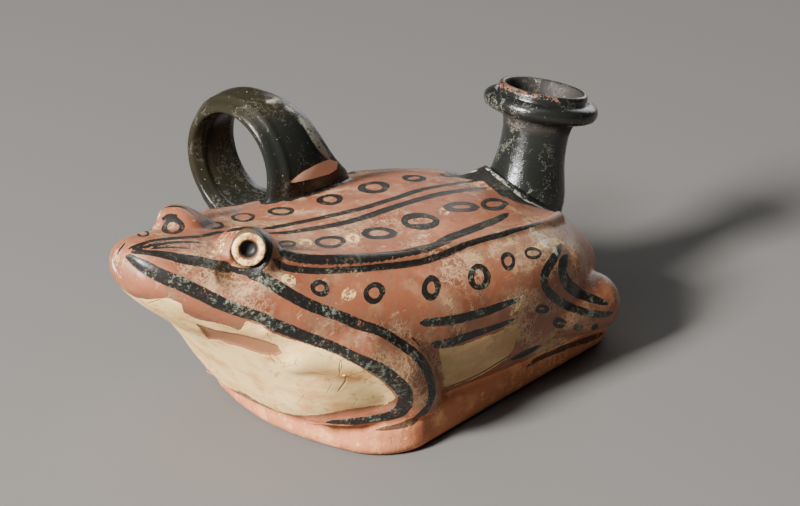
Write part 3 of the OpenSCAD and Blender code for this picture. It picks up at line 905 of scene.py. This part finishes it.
# A shallow groove along the mouth, and the slight unevenness of a hand-made thing
mouth = {
    "points": [(128, 262), (140, 271), (160, 284), (180, 293), (200, 302), (220, 311), (240, 318), (262, 325)],
    "widths": [4] * 8,
    # The groove and the low swelling beside it: (place across, width, height)
    "section": [(0.0, 0.8, -0.42), (2.4, 1.2, 0.18)],
}
handMade = {"rise": 0.10, "clearOfSpout": 10.0, "spoutFade": 4.0, "foot": 0.6, "footFade": 1.5,
            "flakeDepth": 0.22, "flakeEdge": 0.35}
mouthTree = treeOf(np.vstack(marksOf({"mouth": mouth}))[:, :3])
push = ribsAt(np.array([mouthTree.find(place)[2] for place in places]), mouth["section"])
wave = np.sin(places[:, 0] / 5.3 + 1.3 * np.sin(places[:, 2] / 7.1)) * np.sin(places[:, 1] / 6.1 + 0.7)
wave = wave + 0.6 * np.sin(places[:, 0] / 2.9 + places[:, 1] / 3.7) * np.sin(places[:, 2] / 3.1 + 1.9)
stem = np.clip((fromAxis - handMade["clearOfSpout"]) / handMade["spoutFade"], 0, 1)
stem = stem * np.clip((places[:, 2] - handMade["foot"]) / handMade["footFade"], 0, 1)
push = push + handMade["rise"] * wave * stem
push = push - handMade["flakeDepth"] * np.clip(patchDepth("flake", seen) / handMade["flakeEdge"], 0, 1)
putPlaces(clay, places + normals * push[:, None])


# The seam between the upper and the lower body, as (along, above the plinth)
seam = [(-120, 50), (-77, 37.0), (-60, 25), (-44, 15.5), (-30, 12), (60, 9)]
cut = {
    "plinthAt": plinthTop + 0.35, "legGap": 0.45, "legReach": 1.1, "margin": 1.0, "strapAbove": 20.0,
    "smallest": 1500, "islandRounds": 40, "easingRounds": 10,
}


def scoreClay():
    for (ax, az), (bx, bz) in zip(seam, seam[1:]):
        centres = faceCentres(clay)
        margin = cut["margin"]
        inRange = (centres[:, 0] > ax - margin) & (centres[:, 0] < bx + margin)
        inRange = inRange & (centres[:, 2] > plinthTop + margin)
        sliceFaces(clay, inRange, (ax, 0, az + plinthTop), (az - bz, 0, bx - ax))
    atPlinth = np.abs(faceCentres(clay)[:, 2] - cut["plinthAt"]) < cut["margin"]
    sliceFaces(clay, atPlinth, (0, 0, cut["plinthAt"]), (0, 0, 1))


scoreClay()
places = placesOf(clay)
centres = faceCentres(clay)
limbLabels = {"forelegLeft": 4, "forelegRight": 5, "hindLeft": 6, "hindRight": 7}
gapAt = {name: gapsTo(skins[name], centres) for name in ("trunk", "handle", *limbLabels)}
seamHeight = np.interp(centres[:, 0], *np.array(seam, dtype=float).T) + plinthTop
pieceNames = ["clayBack", "clayBelly", "clayPlinth", "clayHandle", "clayForelegLeft", "clayForelegRight",
              "clayHindLegLeft", "clayHindLegRight"]
backLabel, bellyLabel, plinthLabel, handleLabel = range(4)
bodyLabel = np.where(centres[:, 2] > seamHeight, backLabel, bellyLabel)
label = bodyLabel.copy()
proud = gapAt["trunk"] > cut["legGap"]
atStrap = np.abs(gapAt["handle"]) < cut["legReach"]
label[atStrap & proud & (centres[:, 2] > cut["strapAbove"])] = handleLabel
for name, index in limbLabels.items():
    label[(np.abs(gapAt[name]) < cut["legReach"]) & proud & (label != handleLabel)] = index
label[centres[:, 2] < cut["plinthAt"]] = plinthLabel

mesh = clay.data
loopEdges = countsOf(mesh.loops, "edge_index")
loopTotals = countsOf(mesh.polygons, "loop_total")

# A small island of one piece inside another goes back to the body
loopFaces = np.repeat(np.arange(len(label)), loopTotals)
order = np.argsort(loopEdges, kind="stable")
shared = loopEdges[order[1:]] == loopEdges[order[:-1]]
faceA, faceB = loopFaces[order[1:]][shared], loopFaces[order[:-1]][shared]
alike = label[faceA] == label[faceB]
faceA, faceB = faceA[alike], faceB[alike]
island = np.arange(len(label))
for _ in range(cut["islandRounds"]):
    low = np.minimum(island[faceA], island[faceB])
    np.minimum.at(island, island[faceA], low)
    np.minimum.at(island, island[faceB], low)
    island = island[island]
small = (np.bincount(island, minlength=len(label))[island] < cut["smallest"]) & (label != plinthLabel)
label[small] = bodyLabel[small]
print("small islands given back:", int(small.sum()), "faces")

# Face by face the label makes a ragged edge, so the edges between pieces are eased
loopLabels = np.repeat(label, loopTotals)
lowest = np.full(len(mesh.edges), len(pieceNames))
highest = np.full(len(mesh.edges), -1)
np.minimum.at(lowest, loopEdges, loopLabels)
np.maximum.at(highest, loopEdges, loopLabels)
border = countsOf(mesh.edges, "vertices", 2).reshape(-1, 2)[(lowest != highest) & (highest >= handleLabel)]
for _ in range(cut["easingRounds"]):
    total = np.zeros_like(places)
    count = np.zeros(len(places))
    for a, b in ((0, 1), (1, 0)):
        np.add.at(total, border[:, a], places[border[:, b]])
        np.add.at(count, border[:, a], 1)
    moved = count == 2
    places[moved] = 0.5 * places[moved] + 0.5 * total[moved] / 2
putPlaces(clay, places)

for name in pieceNames:
    mesh.materials.append(bpy.data.materials.new("label" + name))
mesh.polygons.foreach_set("material_index", label.astype(np.int32))
rework(clay, lambda: bpy.ops.mesh.separate(type="MATERIAL"))
parts = {}
for piece in list(bpy.context.selected_objects):
    first = piece.data.polygons[0].material_index if len(piece.data.materials) > 1 else 0
    name = piece.data.materials[first].name.replace("label", "", 1)
    piece.data.materials.clear()
    piece.name = name
    parts[name] = piece
print("clay cut into:", ", ".join(sorted(parts)))


def openBore(piece):
    up, fromAxis = alongSpout(faceCentres(piece))
    foot = np.array(spout["profile"][slice(*spout["footRows"])])
    taken = fromAxis < np.interp(up, foot[:, 1], foot[:, 0]) - spout["footLap"]
    selectFaces(piece, taken & (up > spout["footFrom"]))
    bpy.ops.mesh.delete(type="FACE")
    bpy.ops.object.mode_set(mode="OBJECT")


def smoothShade(piece, angle):
    pickOut(piece)
    bpy.ops.object.shade_smooth_by_angle(angle=math.radians(angle))


def finishPiece(piece, nodes, material):
    piece.data.transform(Matrix.Scale(millimetre, 4))
    piece.data.update()
    piece.data.materials.clear()
    piece.data.materials.append(material)
    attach(piece, "root")
    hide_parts(*nodes)


openBore(parts["clayBack"])
for name in ("clayBack", "clayBelly"):
    applyModifier(parts[name], "SOLIDIFY", thickness=1.0, offset=-1.0, use_even_offset=False)
for name in pieceNames[plinthLabel:]:
    rework(parts[name], lambda: bpy.ops.mesh.fill_holes(sides=0))
for piece in parts.values():
    smoothShade(piece, 50)
print("pieces closed")


# One socket of a material, which sums and products can be written with
class Wire:
    def __init__(self, brush, socket):
        self.brush = brush
        self.socket = socket

    def work(self, operation, first, second=None):
        values = {0: first} if second is None else {0: first, 1: second}
        return self.brush.add("ShaderNodeMath", {"operation": operation}, values)

    def __add__(self, other):
        return self.work("ADD", self, other)

    def __radd__(self, other):
        return self.work("ADD", other, self)

    def __sub__(self, other):
        return self.work("SUBTRACT", self, other)

    def __rsub__(self, other):
        return self.work("SUBTRACT", other, self)

    def __mul__(self, other):
        return self.work("MULTIPLY", self, other)

    def __rmul__(self, other):
        return self.work("MULTIPLY", other, self)

    def __abs__(self):
        return self.work("ABSOLUTE", self)

    def atLeast(self, other):
        return self.work("MAXIMUM", self, other)


class Brush:
    def __init__(self, name):
        self.material = bpy.data.materials.new(name)
        self.material.use_nodes = True
        self.tree = self.material.node_tree
        self.surface = self.tree.nodes["Principled BSDF"]
        self.object = self.add("ShaderNodeTexCoord", out="Object")

    def add(self, kind, settings=None, values=None, out=0):
        node = self.tree.nodes.new(kind)
        for key, value in (settings or {}).items():
            setattr(node, key, value)
        self.feed(node, values or {})
        return Wire(self, node.outputs[out])

    def feed(self, node, values):
        for key, value in values.items():
            if isinstance(value, Wire):
                self.tree.links.new(value.socket, node.inputs[key])
            else:
                node.inputs[key].default_value = value

    def attribute(self, name):
        return self.add("ShaderNodeAttribute", {"attribute_name": name}, out="Fac")

    def noise(self, size, detail=4.0, rough=0.5, stretch=None, shift=0.0):
        # size is the width of one blotch in millimetres
        place = self.object
        if stretch or shift:
            place = self.add("ShaderNodeMapping", None, {
                "Vector": self.object, "Scale": stretch or (1, 1, 1),
                "Location": (shift, shift * 0.7, shift * 1.3)})
        return self.add("ShaderNodeTexNoise", None, {
            "Vector": place, "Scale": 1000.0 / size, "Detail": detail, "Roughness": rough}, out=0)

    def fade(self, value, low, high, toLow=0.0, toHigh=1.0):
        return self.add("ShaderNodeMapRange", {"interpolation_type": "SMOOTHSTEP", "clamp": True}, {
            "Value": value, "From Min": low, "From Max": high, "To Min": toLow, "To Max": toHigh})

    def mix(self, factor, first, second):
        return self.add("ShaderNodeMix", {"data_type": "RGBA"}, {0: factor, 6: first, 7: second}, out=2)

    def finish(self, values):
        self.feed(self.surface, values)
        return self.material


def tint(red, green, blue):
    # A colour as it is read off the screen, 0 to 255
    def linear(part):
        part = part / 255.0
        return part / 12.92 if part <= 0.04045 else ((part + 0.055) / 1.055) ** 2.4
    return (linear(red), linear(green), linear(blue), 1.0)


clayTints = {
    "salmon": tint(150, 88, 60), "red": tint(122, 66, 46), "brown": tint(94, 57, 42),
    "pale": tint(214, 174, 128), "washedAndPaintedLight": tint(154, 118, 95), "ash": tint(126, 104, 80),
    "cream": tint(255, 216, 146), "creamDeep": tint(228, 170, 102),
    "creamShade": tint(160, 106, 64), "bellyStainAndShade": tint(150, 122, 96), "flake": tint(168, 112, 76),
    "slip": tint(30, 29, 26), "slipThin": tint(66, 48, 38), "dust": tint(158, 162, 140),
    "lime": tint(206, 202, 184), "bare": tint(224, 138, 92), "bareDark": tint(150, 84, 54),
    "bareBloom": tint(246, 184, 126),
}


def rootMarks(brush, size, width, shift):
    # Thin pale lines that wander over the clay, as roots leave them
    line = abs(brush.noise(size, 7, 0.66, shift=shift) - 0.5)
    return brush.fade(line, 0.0, width, 1.0, 0.0)


def clayGround(brush):
    # Burnished terracotta: blotches of salmon and red, pale scratches, root marks and rubbed places, which on
    # the arm are painted light
    broad = brush.noise(13, 3)
    medium = brush.noise(4.2, 6, 0.62, shift=3.0)
    fine = brush.noise(0.9, 4, 0.6, shift=7.0)
    rubbed = brush.attribute("rubbed")
    redder = brush.fade(broad + (medium - 0.5) * 0.8, 0.38, 0.68)
    colour = brush.mix(redder, clayTints["salmon"], clayTints["red"])
    colour = brush.mix(brush.fade(medium, 0.56, 0.74) * 0.5, colour, clayTints["brown"])
    ash = brush.fade(brush.noise(3.4, 8, 0.7, shift=51.0) + rubbed * 0.12, 0.44, 0.66)
    colour = brush.mix(ash * 0.44, colour, clayTints["ash"])
    bloom = brush.fade(brush.noise(5.0, 7, 0.62, shift=23.0) + rubbed * 0.14, 0.50, 0.70)
    colour = brush.mix(bloom * 0.2, colour, clayTints["pale"])
    # Rubbed places are washed paler; on the arm the paleness is painted light
    colour = brush.mix(rubbed * (0.3 + bloom * 0.4), colour, clayTints["washedAndPaintedLight"])
    scratch = brush.noise(2.0, 9, 0.74, stretch=(0.5, 1.5, 1.0), shift=11.0) + rubbed * 0.10
    scuffs = brush.fade(scratch, 0.595, 0.640) * brush.fade(fine + rubbed * 0.1, 0.35, 0.6)
    marks = rootMarks(brush, 3.6, 0.034, 61.0).atLeast(rootMarks(brush, 2.2, 0.038, 71.0))
    marks = marks * brush.fade(broad * 0.5 + medium * 0.5 + rubbed * 0.22, 0.50, 0.62)
    scuffs = scuffs.atLeast(marks)
    colour = brush.mix(scuffs * 0.66, colour, clayTints["pale"])
    return colour, scuffs, fine


def strokeShape(brush, name, wobble, sharp=0.16):
    across = abs(brush.attribute(name + "Side")) + wobble
    within = brush.fade(across, 1.06 - sharp, 1.06, 1.0, 0.0)
    return within * brush.fade(brush.attribute(name + "Gap") + wobble, 0.12, 0.30, 1.0, 0.0)


def darkStrokes(brush, wobble):
    # The edge of a wide stroke is told in millimetres, and a fine one by its own width
    wide = brush.fade(brush.attribute("wideGap") + wobble * 1.1, -0.09, 0.09, 1.0, 0.0)
    return wide.atLeast(strokeShape(brush, "fine", wobble))


def paintedClay():
    brush = Brush("paintedClay")
    ground, scuffs, fine = clayGround(brush)
    wobble = (brush.noise(1.6, 4, 0.55, shift=5.0) - 0.5) * 0.34
    grit = brush.noise(0.45, 3, 0.6, shift=9.0)
    worn = brush.noise(2.2, 8, 0.72, shift=15.0)
    blotches = brush.noise(7.0, 3, 0.5, shift=41.0)

    # Cream slip on the throat and the belly, flaking away at its edges
    edge = (brush.noise(1.8, 6, 0.65, shift=21.0) - 0.5) * 1.6
    throat = brush.fade(brush.attribute("throat") + edge * 0.4, -0.06, 0.10)
    belly = brush.fade(brush.attribute("belly") + edge * 0.6, -0.08, 0.12)
    cream = throat.atLeast(belly)
    streaks = brush.fade(brush.noise(6.0, 6, 0.6, stretch=(0.5, 1.2, 1.6), shift=2.0), 0.42, 0.70)
    creamColour = brush.mix(streaks, clayTints["cream"], clayTints["creamDeep"])
    shades = brush.fade(brush.noise(3.0, 8, 0.7, shift=27.0), 0.57, 0.66) * 0.55
    creamColour = brush.mix(shades, creamColour, clayTints["creamShade"])
    # Painted shade darkens the whole belly patch, which lies on the shaded side; blotches of stain darken it
    # more
    creamColour = brush.mix(belly * (0.35 + blotches * 0.6), creamColour, clayTints["bellyStainAndShade"])
    colour = brush.mix(cream, ground, creamColour)
    flake = brush.fade(brush.attribute("flake") + edge * 0.3, -0.05, 0.08)
    colour = brush.mix(flake * throat, colour, clayTints["flake"])
    creamStroke = strokeShape(brush, "cream", wobble * 1.6, 0.3)
    creamStroke = creamStroke * brush.fade(worn + (grit - 0.5) * 0.4, 0.42, 0.52)
    colour = brush.mix(creamStroke * 0.8, colour, clayTints["cream"])

    # Dark slip: strokes of a loaded brush, thin at the edges, worn and dusty in places
    stroke = darkStrokes(brush, wobble)
    black = brush.fade(brush.attribute("black") + wobble * 1.2, -0.08, 0.10)
    reserve = brush.fade(brush.attribute("reserve") + wobble * 0.6, -0.05, 0.08)
    dark = stroke.atLeast(black * (1 - reserve))
    losses = brush.fade(worn + (grit - 0.5) * 0.5, 0.64, 0.70)
    dark = dark * (1 - losses * 0.8)
    thinned = brush.fade(grit + (worn - 0.5), 0.50, 0.74) * 0.7
    slipColour = brush.mix(thinned, clayTints["slip"], clayTints["slipThin"])
    rubbed = brush.attribute("rubbed")
    dusting = brush.noise(0.9, 9, 0.78, shift=31.0) + (blotches - 0.5) * 0.4 + rubbed * 0.1
    dusty = brush.fade(dusting, 0.54, 0.66) * brush.attribute("dusted")
    slipColour = brush.mix(dusty * 0.62, slipColour, clayTints["dust"])
    colour = brush.mix(dark, colour, slipColour)
    lime = strokeShape(brush, "lime", wobble * 2, 0.6)
    lime = lime * brush.fade(worn + (grit - 0.5) * 0.5, 0.43, 0.53)
    colour = brush.mix(lime * 0.85, colour, clayTints["lime"])

    crackle = brush.add("ShaderNodeTexVoronoi", {"feature": "DISTANCE_TO_EDGE"}, {
        "Vector": brush.object, "Scale": 240.0})
    cracks = brush.fade(crackle, 0.0, 0.03, 1.0, 0.0) * throat * brush.fade(blotches, 0.52, 0.60)
    colour = brush.mix(cracks * 0.7, colour, clayTints["creamShade"])
    height = fine * 0.25 + grit * 0.12 + cream * 0.5 + dark * 0.2
    height = height - flake * throat * 0.6 - cracks * 0.5 + lime * 0.5
    bump = brush.add("ShaderNodeBump", None, {"Strength": 0.5, "Distance": 0.0003, "Height": height})
    rough = 0.46 + (fine - 0.5) * 0.2 + cream * 0.32 - dark * 0.10
    rough = rough + dusty * dark * 0.25 + scuffs * 0.12 + lime * 0.3
    return brush.finish({"Base Color": colour, "Roughness": rough, "Normal": bump, "Specular IOR Level": 0.45})


def bareClay():
    brush = Brush("bareClay")
    colour, scuffs, fine = clayGround(brush)
    colour = brush.mix(0.6, colour, clayTints["bare"])
    stains = brush.fade(brush.noise(7.0, 6, 0.62, shift=13.0), 0.5, 0.7)
    colour = brush.mix(stains * 0.45, colour, clayTints["bareDark"])
    bloom = brush.fade(brush.noise(5.0, 7, 0.66, shift=33.0), 0.48, 0.68)
    colour = brush.mix(bloom * 0.5, colour, clayTints["bareBloom"])
    colour = brush.mix(scuffs * 0.7, colour, clayTints["bareBloom"])
    wobble = (brush.noise(1.6, 4, 0.55, shift=5.0) - 0.5) * 0.34
    stroke = darkStrokes(brush, wobble) * brush.fade(fine, 0.58, 0.72, 1.0, 0.0)
    colour = brush.mix(stroke * 0.85, colour, clayTints["slip"])
    pits = brush.fade(brush.noise(0.8, 3, 0.5, shift=17.0), 0.62, 0.7)
    bump = brush.add("ShaderNodeBump", None, {
        "Strength": 0.5, "Distance": 0.0004, "Height": fine * 0.5 - pits * 0.5})
    rough = 0.66 + (fine - 0.5) * 0.2 + scuffs * 0.05
    return brush.finish({"Base Color": colour, "Roughness": rough, "Normal": bump, "Specular IOR Level": 0.35})


glossTints = {
    "black": tint(27, 28, 25), "olive": tint(40, 36, 25), "cup": tint(40, 34, 29),
    "red": tint(126, 78, 58), "lime": tint(190, 184, 162), "reservedClayAndPaintedLight": tint(252, 204, 176),
}


def blackGloss(name, wear):
    # Black gloss over red clay: olive where thin, red where rubbed, with a lime crust in spots and a painted
    # highlight along the strap's back edge
    brush = Brush(name)
    broad = brush.noise(8.0, 4, 0.55, shift=1.0)
    speck = brush.noise(1.3, 8, 0.72, shift=6.0)
    fine = brush.noise(0.6, 4, 0.6, shift=8.0)
    ground, scuffs, clayFine = clayGround(brush)
    thin = brush.fade(broad * 0.5 + brush.attribute("thinGloss") * 0.5, 0.32, 0.66) * 0.9
    colour = brush.mix(thin, glossTints["black"], glossTints["olive"])
    colour = brush.mix(brush.attribute("dull"), colour, glossTints["cup"])
    rubbed = brush.fade(speck + brush.attribute("bruised") * 0.2, 0.665, 0.70)
    colour = brush.mix(rubbed * 0.75, colour, glossTints["red"])
    crustAndHighlight = brush.fade(brush.noise(1.7, 9, 0.78, shift=19.0) + (broad - 0.5) * 0.6, 0.66 + wear * 0.015, 0.74)
    # Near the lime marks and near the painted highlight on the strap's edge the crust is thicker
    crustAndHighlight = crustAndHighlight.atLeast(brush.fade(brush.attribute("limeAndHighlightNear") + (speck - 0.5) * 2.2, 0.5, 1.1) * 0.8)
    specks = brush.fade(brush.noise(0.5, 3, 0.5, shift=29.0), 0.70, 0.74)
    marks = rootMarks(brush, 2.6, 0.012, 81.0) * brush.fade(broad, 0.48, 0.56)
    crustAndHighlight = crustAndHighlight.atLeast(specks).atLeast(marks * (0.7 - wear * 0.35))
    # The lime strokes: crust, and the painted highlight along the strap's back edge
    crustAndHighlight = crustAndHighlight.atLeast(strokeShape(brush, "lime", (speck - 0.5) * 1.2, 0.5) * brush.fade(speck, 0.36, 0.46))
    colour = brush.mix(crustAndHighlight * 0.6, colour, glossTints["lime"])
    # The reserved triangle shows bare clay, painted much paler than the clay: painted light on its shaded face
    bare = brush.fade(brush.attribute("reserve") + (speck - 0.5) * 0.3, -0.05, 0.08)
    colour = brush.mix(bare, colour, brush.mix(0.7, ground, glossTints["reservedClayAndPaintedLight"]))
    bump = brush.add("ShaderNodeBump", None, {
        "Strength": 0.5, "Distance": 0.0003, "Height": fine * 0.25 + speck * 0.5 + crustAndHighlight * 0.5 - rubbed * 0.4})
    rough = 0.20 - wear * 0.02 + (fine - 0.5) * 0.18 + (broad - 0.5) * 0.2
    rough = rough + crustAndHighlight * 0.4 + rubbed * 0.3 + bare * 0.3 + (scuffs + clayFine) * 0.02
    rough = rough + brush.attribute("thinGloss") * 0.03 + brush.attribute("dull") * 0.5
    return brush.finish({"Base Color": colour, "Roughness": rough, "Normal": bump,
                         "Specular IOR Level": 0.5 - wear * 0.28})


def eyeSlip():
    brush = Brush("eyeSlip")
    fine = brush.noise(0.8, 6, 0.65, shift=4.0)
    broad = brush.noise(2.6, 4, 0.6, shift=14.0)
    colour = brush.mix(brush.fade(fine + (broad - 0.5), 0.38, 0.66), clayTints["cream"], clayTints["creamShade"])
    edge = brush.fade(brush.attribute("eyeEdge") + (fine - 0.5) * 0.3, 0.35, 0.65)
    colour = brush.mix(edge * 0.9, colour, clayTints["slipThin"])
    halo = brush.fade(brush.attribute("pupil") + (broad - 0.5) * 0.5, 0.05, 0.4)
    colour = brush.mix(halo * 0.95, colour, clayTints["brown"])
    colour = brush.mix(brush.fade(brush.attribute("pupil"), 0.45, 0.75), colour, clayTints["slip"])
    bump = brush.add("ShaderNodeBump", None, {"Strength": 0.4, "Distance": 0.0002, "Height": fine})
    return brush.finish({"Base Color": colour, "Roughness": 0.5 + (fine - 0.5) * 0.2, "Normal": bump,
                         "Specular IOR Level": 0.4})


painted = paintedClay()
strapGloss = blackGloss("strapGloss", 1.0)
spoutGloss = blackGloss("spoutGloss", 0.0)
bareMaterial = bareClay()
eyeMaterial = eyeSlip()
print("materials mixed")

dressed = {
    "clayBack": ("upper_body", "painted_terracotta", painted),
    "clayBelly": ("lower_body", "cream_slip", painted),
    "clayPlinth": ("base_plinth", "bare_terracotta", bareMaterial),
    "clayHandle": ("handle", "black_gloss", strapGloss),
    "clayForelegLeft": ("left_foreleg", "painted_terracotta", painted),
    "clayForelegRight": ("right_foreleg", "painted_terracotta", painted),
    "clayHindLegLeft": ("left_hind_leg", "painted_terracotta", painted),
    "clayHindLegRight": ("right_hind_leg", "painted_terracotta", painted),
}
for name, (node, slot, material) in dressed.items():
    finishPiece(parts[name], [node], material)


def turnedPiece(name, profile, steps, placeAt):
    # A profile turned about its own upright axis, as on a wheel
    startFresh()
    bpy.ops.mesh.primitive_circle_add(vertices=len(profile), radius=1)
    piece = bpy.context.object
    putPlaces(piece, np.array([(r, 0, h) for r, h in profile]))
    rework(piece,
           lambda: bpy.ops.mesh.spin(steps=steps, angle=2 * math.pi, center=(0, 0, 0), axis=(0, 0, 1)),
           lambda: bpy.ops.mesh.remove_doubles(threshold=0.001),
           faceOutward)
    piece.data.transform(placeAt)
    piece.name = name
    return piece


spoutPiece = turnedPiece("turnedSpout", spout["profile"], 128, spoutTurn)
keepAttribute(spoutPiece, "limeAndHighlightNear", limeAndHighlightNear(placesOf(spoutPiece)))
for name, value in (("reserve", outside), ("limeSide", farOff), ("limeGap", farOff)):
    keepAttribute(spoutPiece, name, np.full(len(spoutPiece.data.vertices), value))
# The rim is rubbed towards the snout and under its edge, and the cup is dull inside
spoutWear = {
    "rimAt": 8.7, "rimWidth": 0.7, "rimAbove": 23.0, "frontFade": 6.0, "edgeFrom": 10.4, "edgeBelow": 20.2,
    "edgeTurn": 78.0, "edgeSpread": 24.0, "cupWithin": 8.0, "cupAbove": 16.0,
}
inSpout = np.array(spoutTurn.inverted())
spots = placesOf(spoutPiece) @ inSpout[:3, :3].T + inSpout[:3, 3]
fromMiddle = np.hypot(spots[:, 0], spots[:, 1])
turned = np.degrees(np.arctan2(spots[:, 1], spots[:, 0]))
onRim = np.exp(-((fromMiddle - spoutWear["rimAt"]) / spoutWear["rimWidth"]) ** 2)
onRim = onRim * (spots[:, 2] > spoutWear["rimAbove"])
underRim = (fromMiddle > spoutWear["edgeFrom"]) * (spots[:, 2] < spoutWear["edgeBelow"])
underRim = underRim * np.exp(-((turned + spoutWear["edgeTurn"]) / spoutWear["edgeSpread"]) ** 2)
towardsSnout = np.clip(-spots[:, 0] / spoutWear["frontFade"], 0, 1)
keepAttribute(spoutPiece, "bruised", np.maximum(onRim * towardsSnout, underRim))
inCup = (fromMiddle < spoutWear["cupWithin"]) * (spots[:, 2] > spoutWear["cupAbove"])
keepAttribute(spoutPiece, "dull", inCup * 1.0)
smoothShade(spoutPiece, 60)
finishPiece(spoutPiece, ["spout"], spoutGloss)


def makeEye(side, name, node):
    eye = turnedPiece(name, eyes["profile"], 64, Matrix.Identity(4))
    spots = placesOf(eye)
    fromMiddle = np.hypot(spots[:, 0], spots[:, 1])
    keepAttribute(eye, "eyeEdge", np.where(spots[:, 2] < eyes["faceFrom"], 1.0, 0.0) * (fromMiddle > 2.5))
    keepAttribute(eye, "pupil", np.clip((2.1 - fromMiddle) / 0.9, 0, 1))
    eye.data.transform(eyeTurn(side))
    smoothShade(eye, 60)
    finishPiece(eye, [node], eyeMaterial)


makeEye(-1, "eyePelletLeft", "left_eye")
makeEye(1, "eyePelletRight", "right_eye")
print("spout and eyes turned")


def setStage():
    startFresh()
    bpy.ops.mesh.primitive_plane_add(size=8.0, location=(0, 0, 0))
    floor = bpy.context.object
    floor.name = "studioFloor"
    brush = Brush("studioPaper")
    floor.data.materials.append(brush.finish({"Base Color": tint(103, 100, 96), "Roughness": 0.9}))
    lights = {
        "keyLight": {"place": (-0.93, 0.02, 0.60), "size": 0.24, "power": 50.0},
        "softTop": {"place": (-0.3, -0.05, 1.3), "size": 1.0, "power": 5.0},
        "backFill": {"place": (1.0, 0.4, 0.3), "size": 0.6, "power": 3.2},
    }
    for name, light in lights.items():
        startFresh()
        bpy.ops.object.light_add(type="AREA", location=light["place"])
        lamp = bpy.context.object
        lamp.name = name
        lamp.data.size = light["size"]
        lamp.data.energy = light["power"]
        aim = Vector((-0.01, 0, 0.02)) - Vector(light["place"])
        lamp.rotation_euler = aim.to_track_quat("-Z", "Y").to_euler()
    world = bpy.context.scene.world or bpy.data.worlds.new("studioWorld")
    bpy.context.scene.world = world
    world.use_nodes = True
    background = world.node_tree.nodes["Background"]
    background.inputs["Color"].default_value = (0.9, 0.95, 1.0, 1.0)
    background.inputs["Strength"].default_value = 0.06


setStage()
print("stage set")
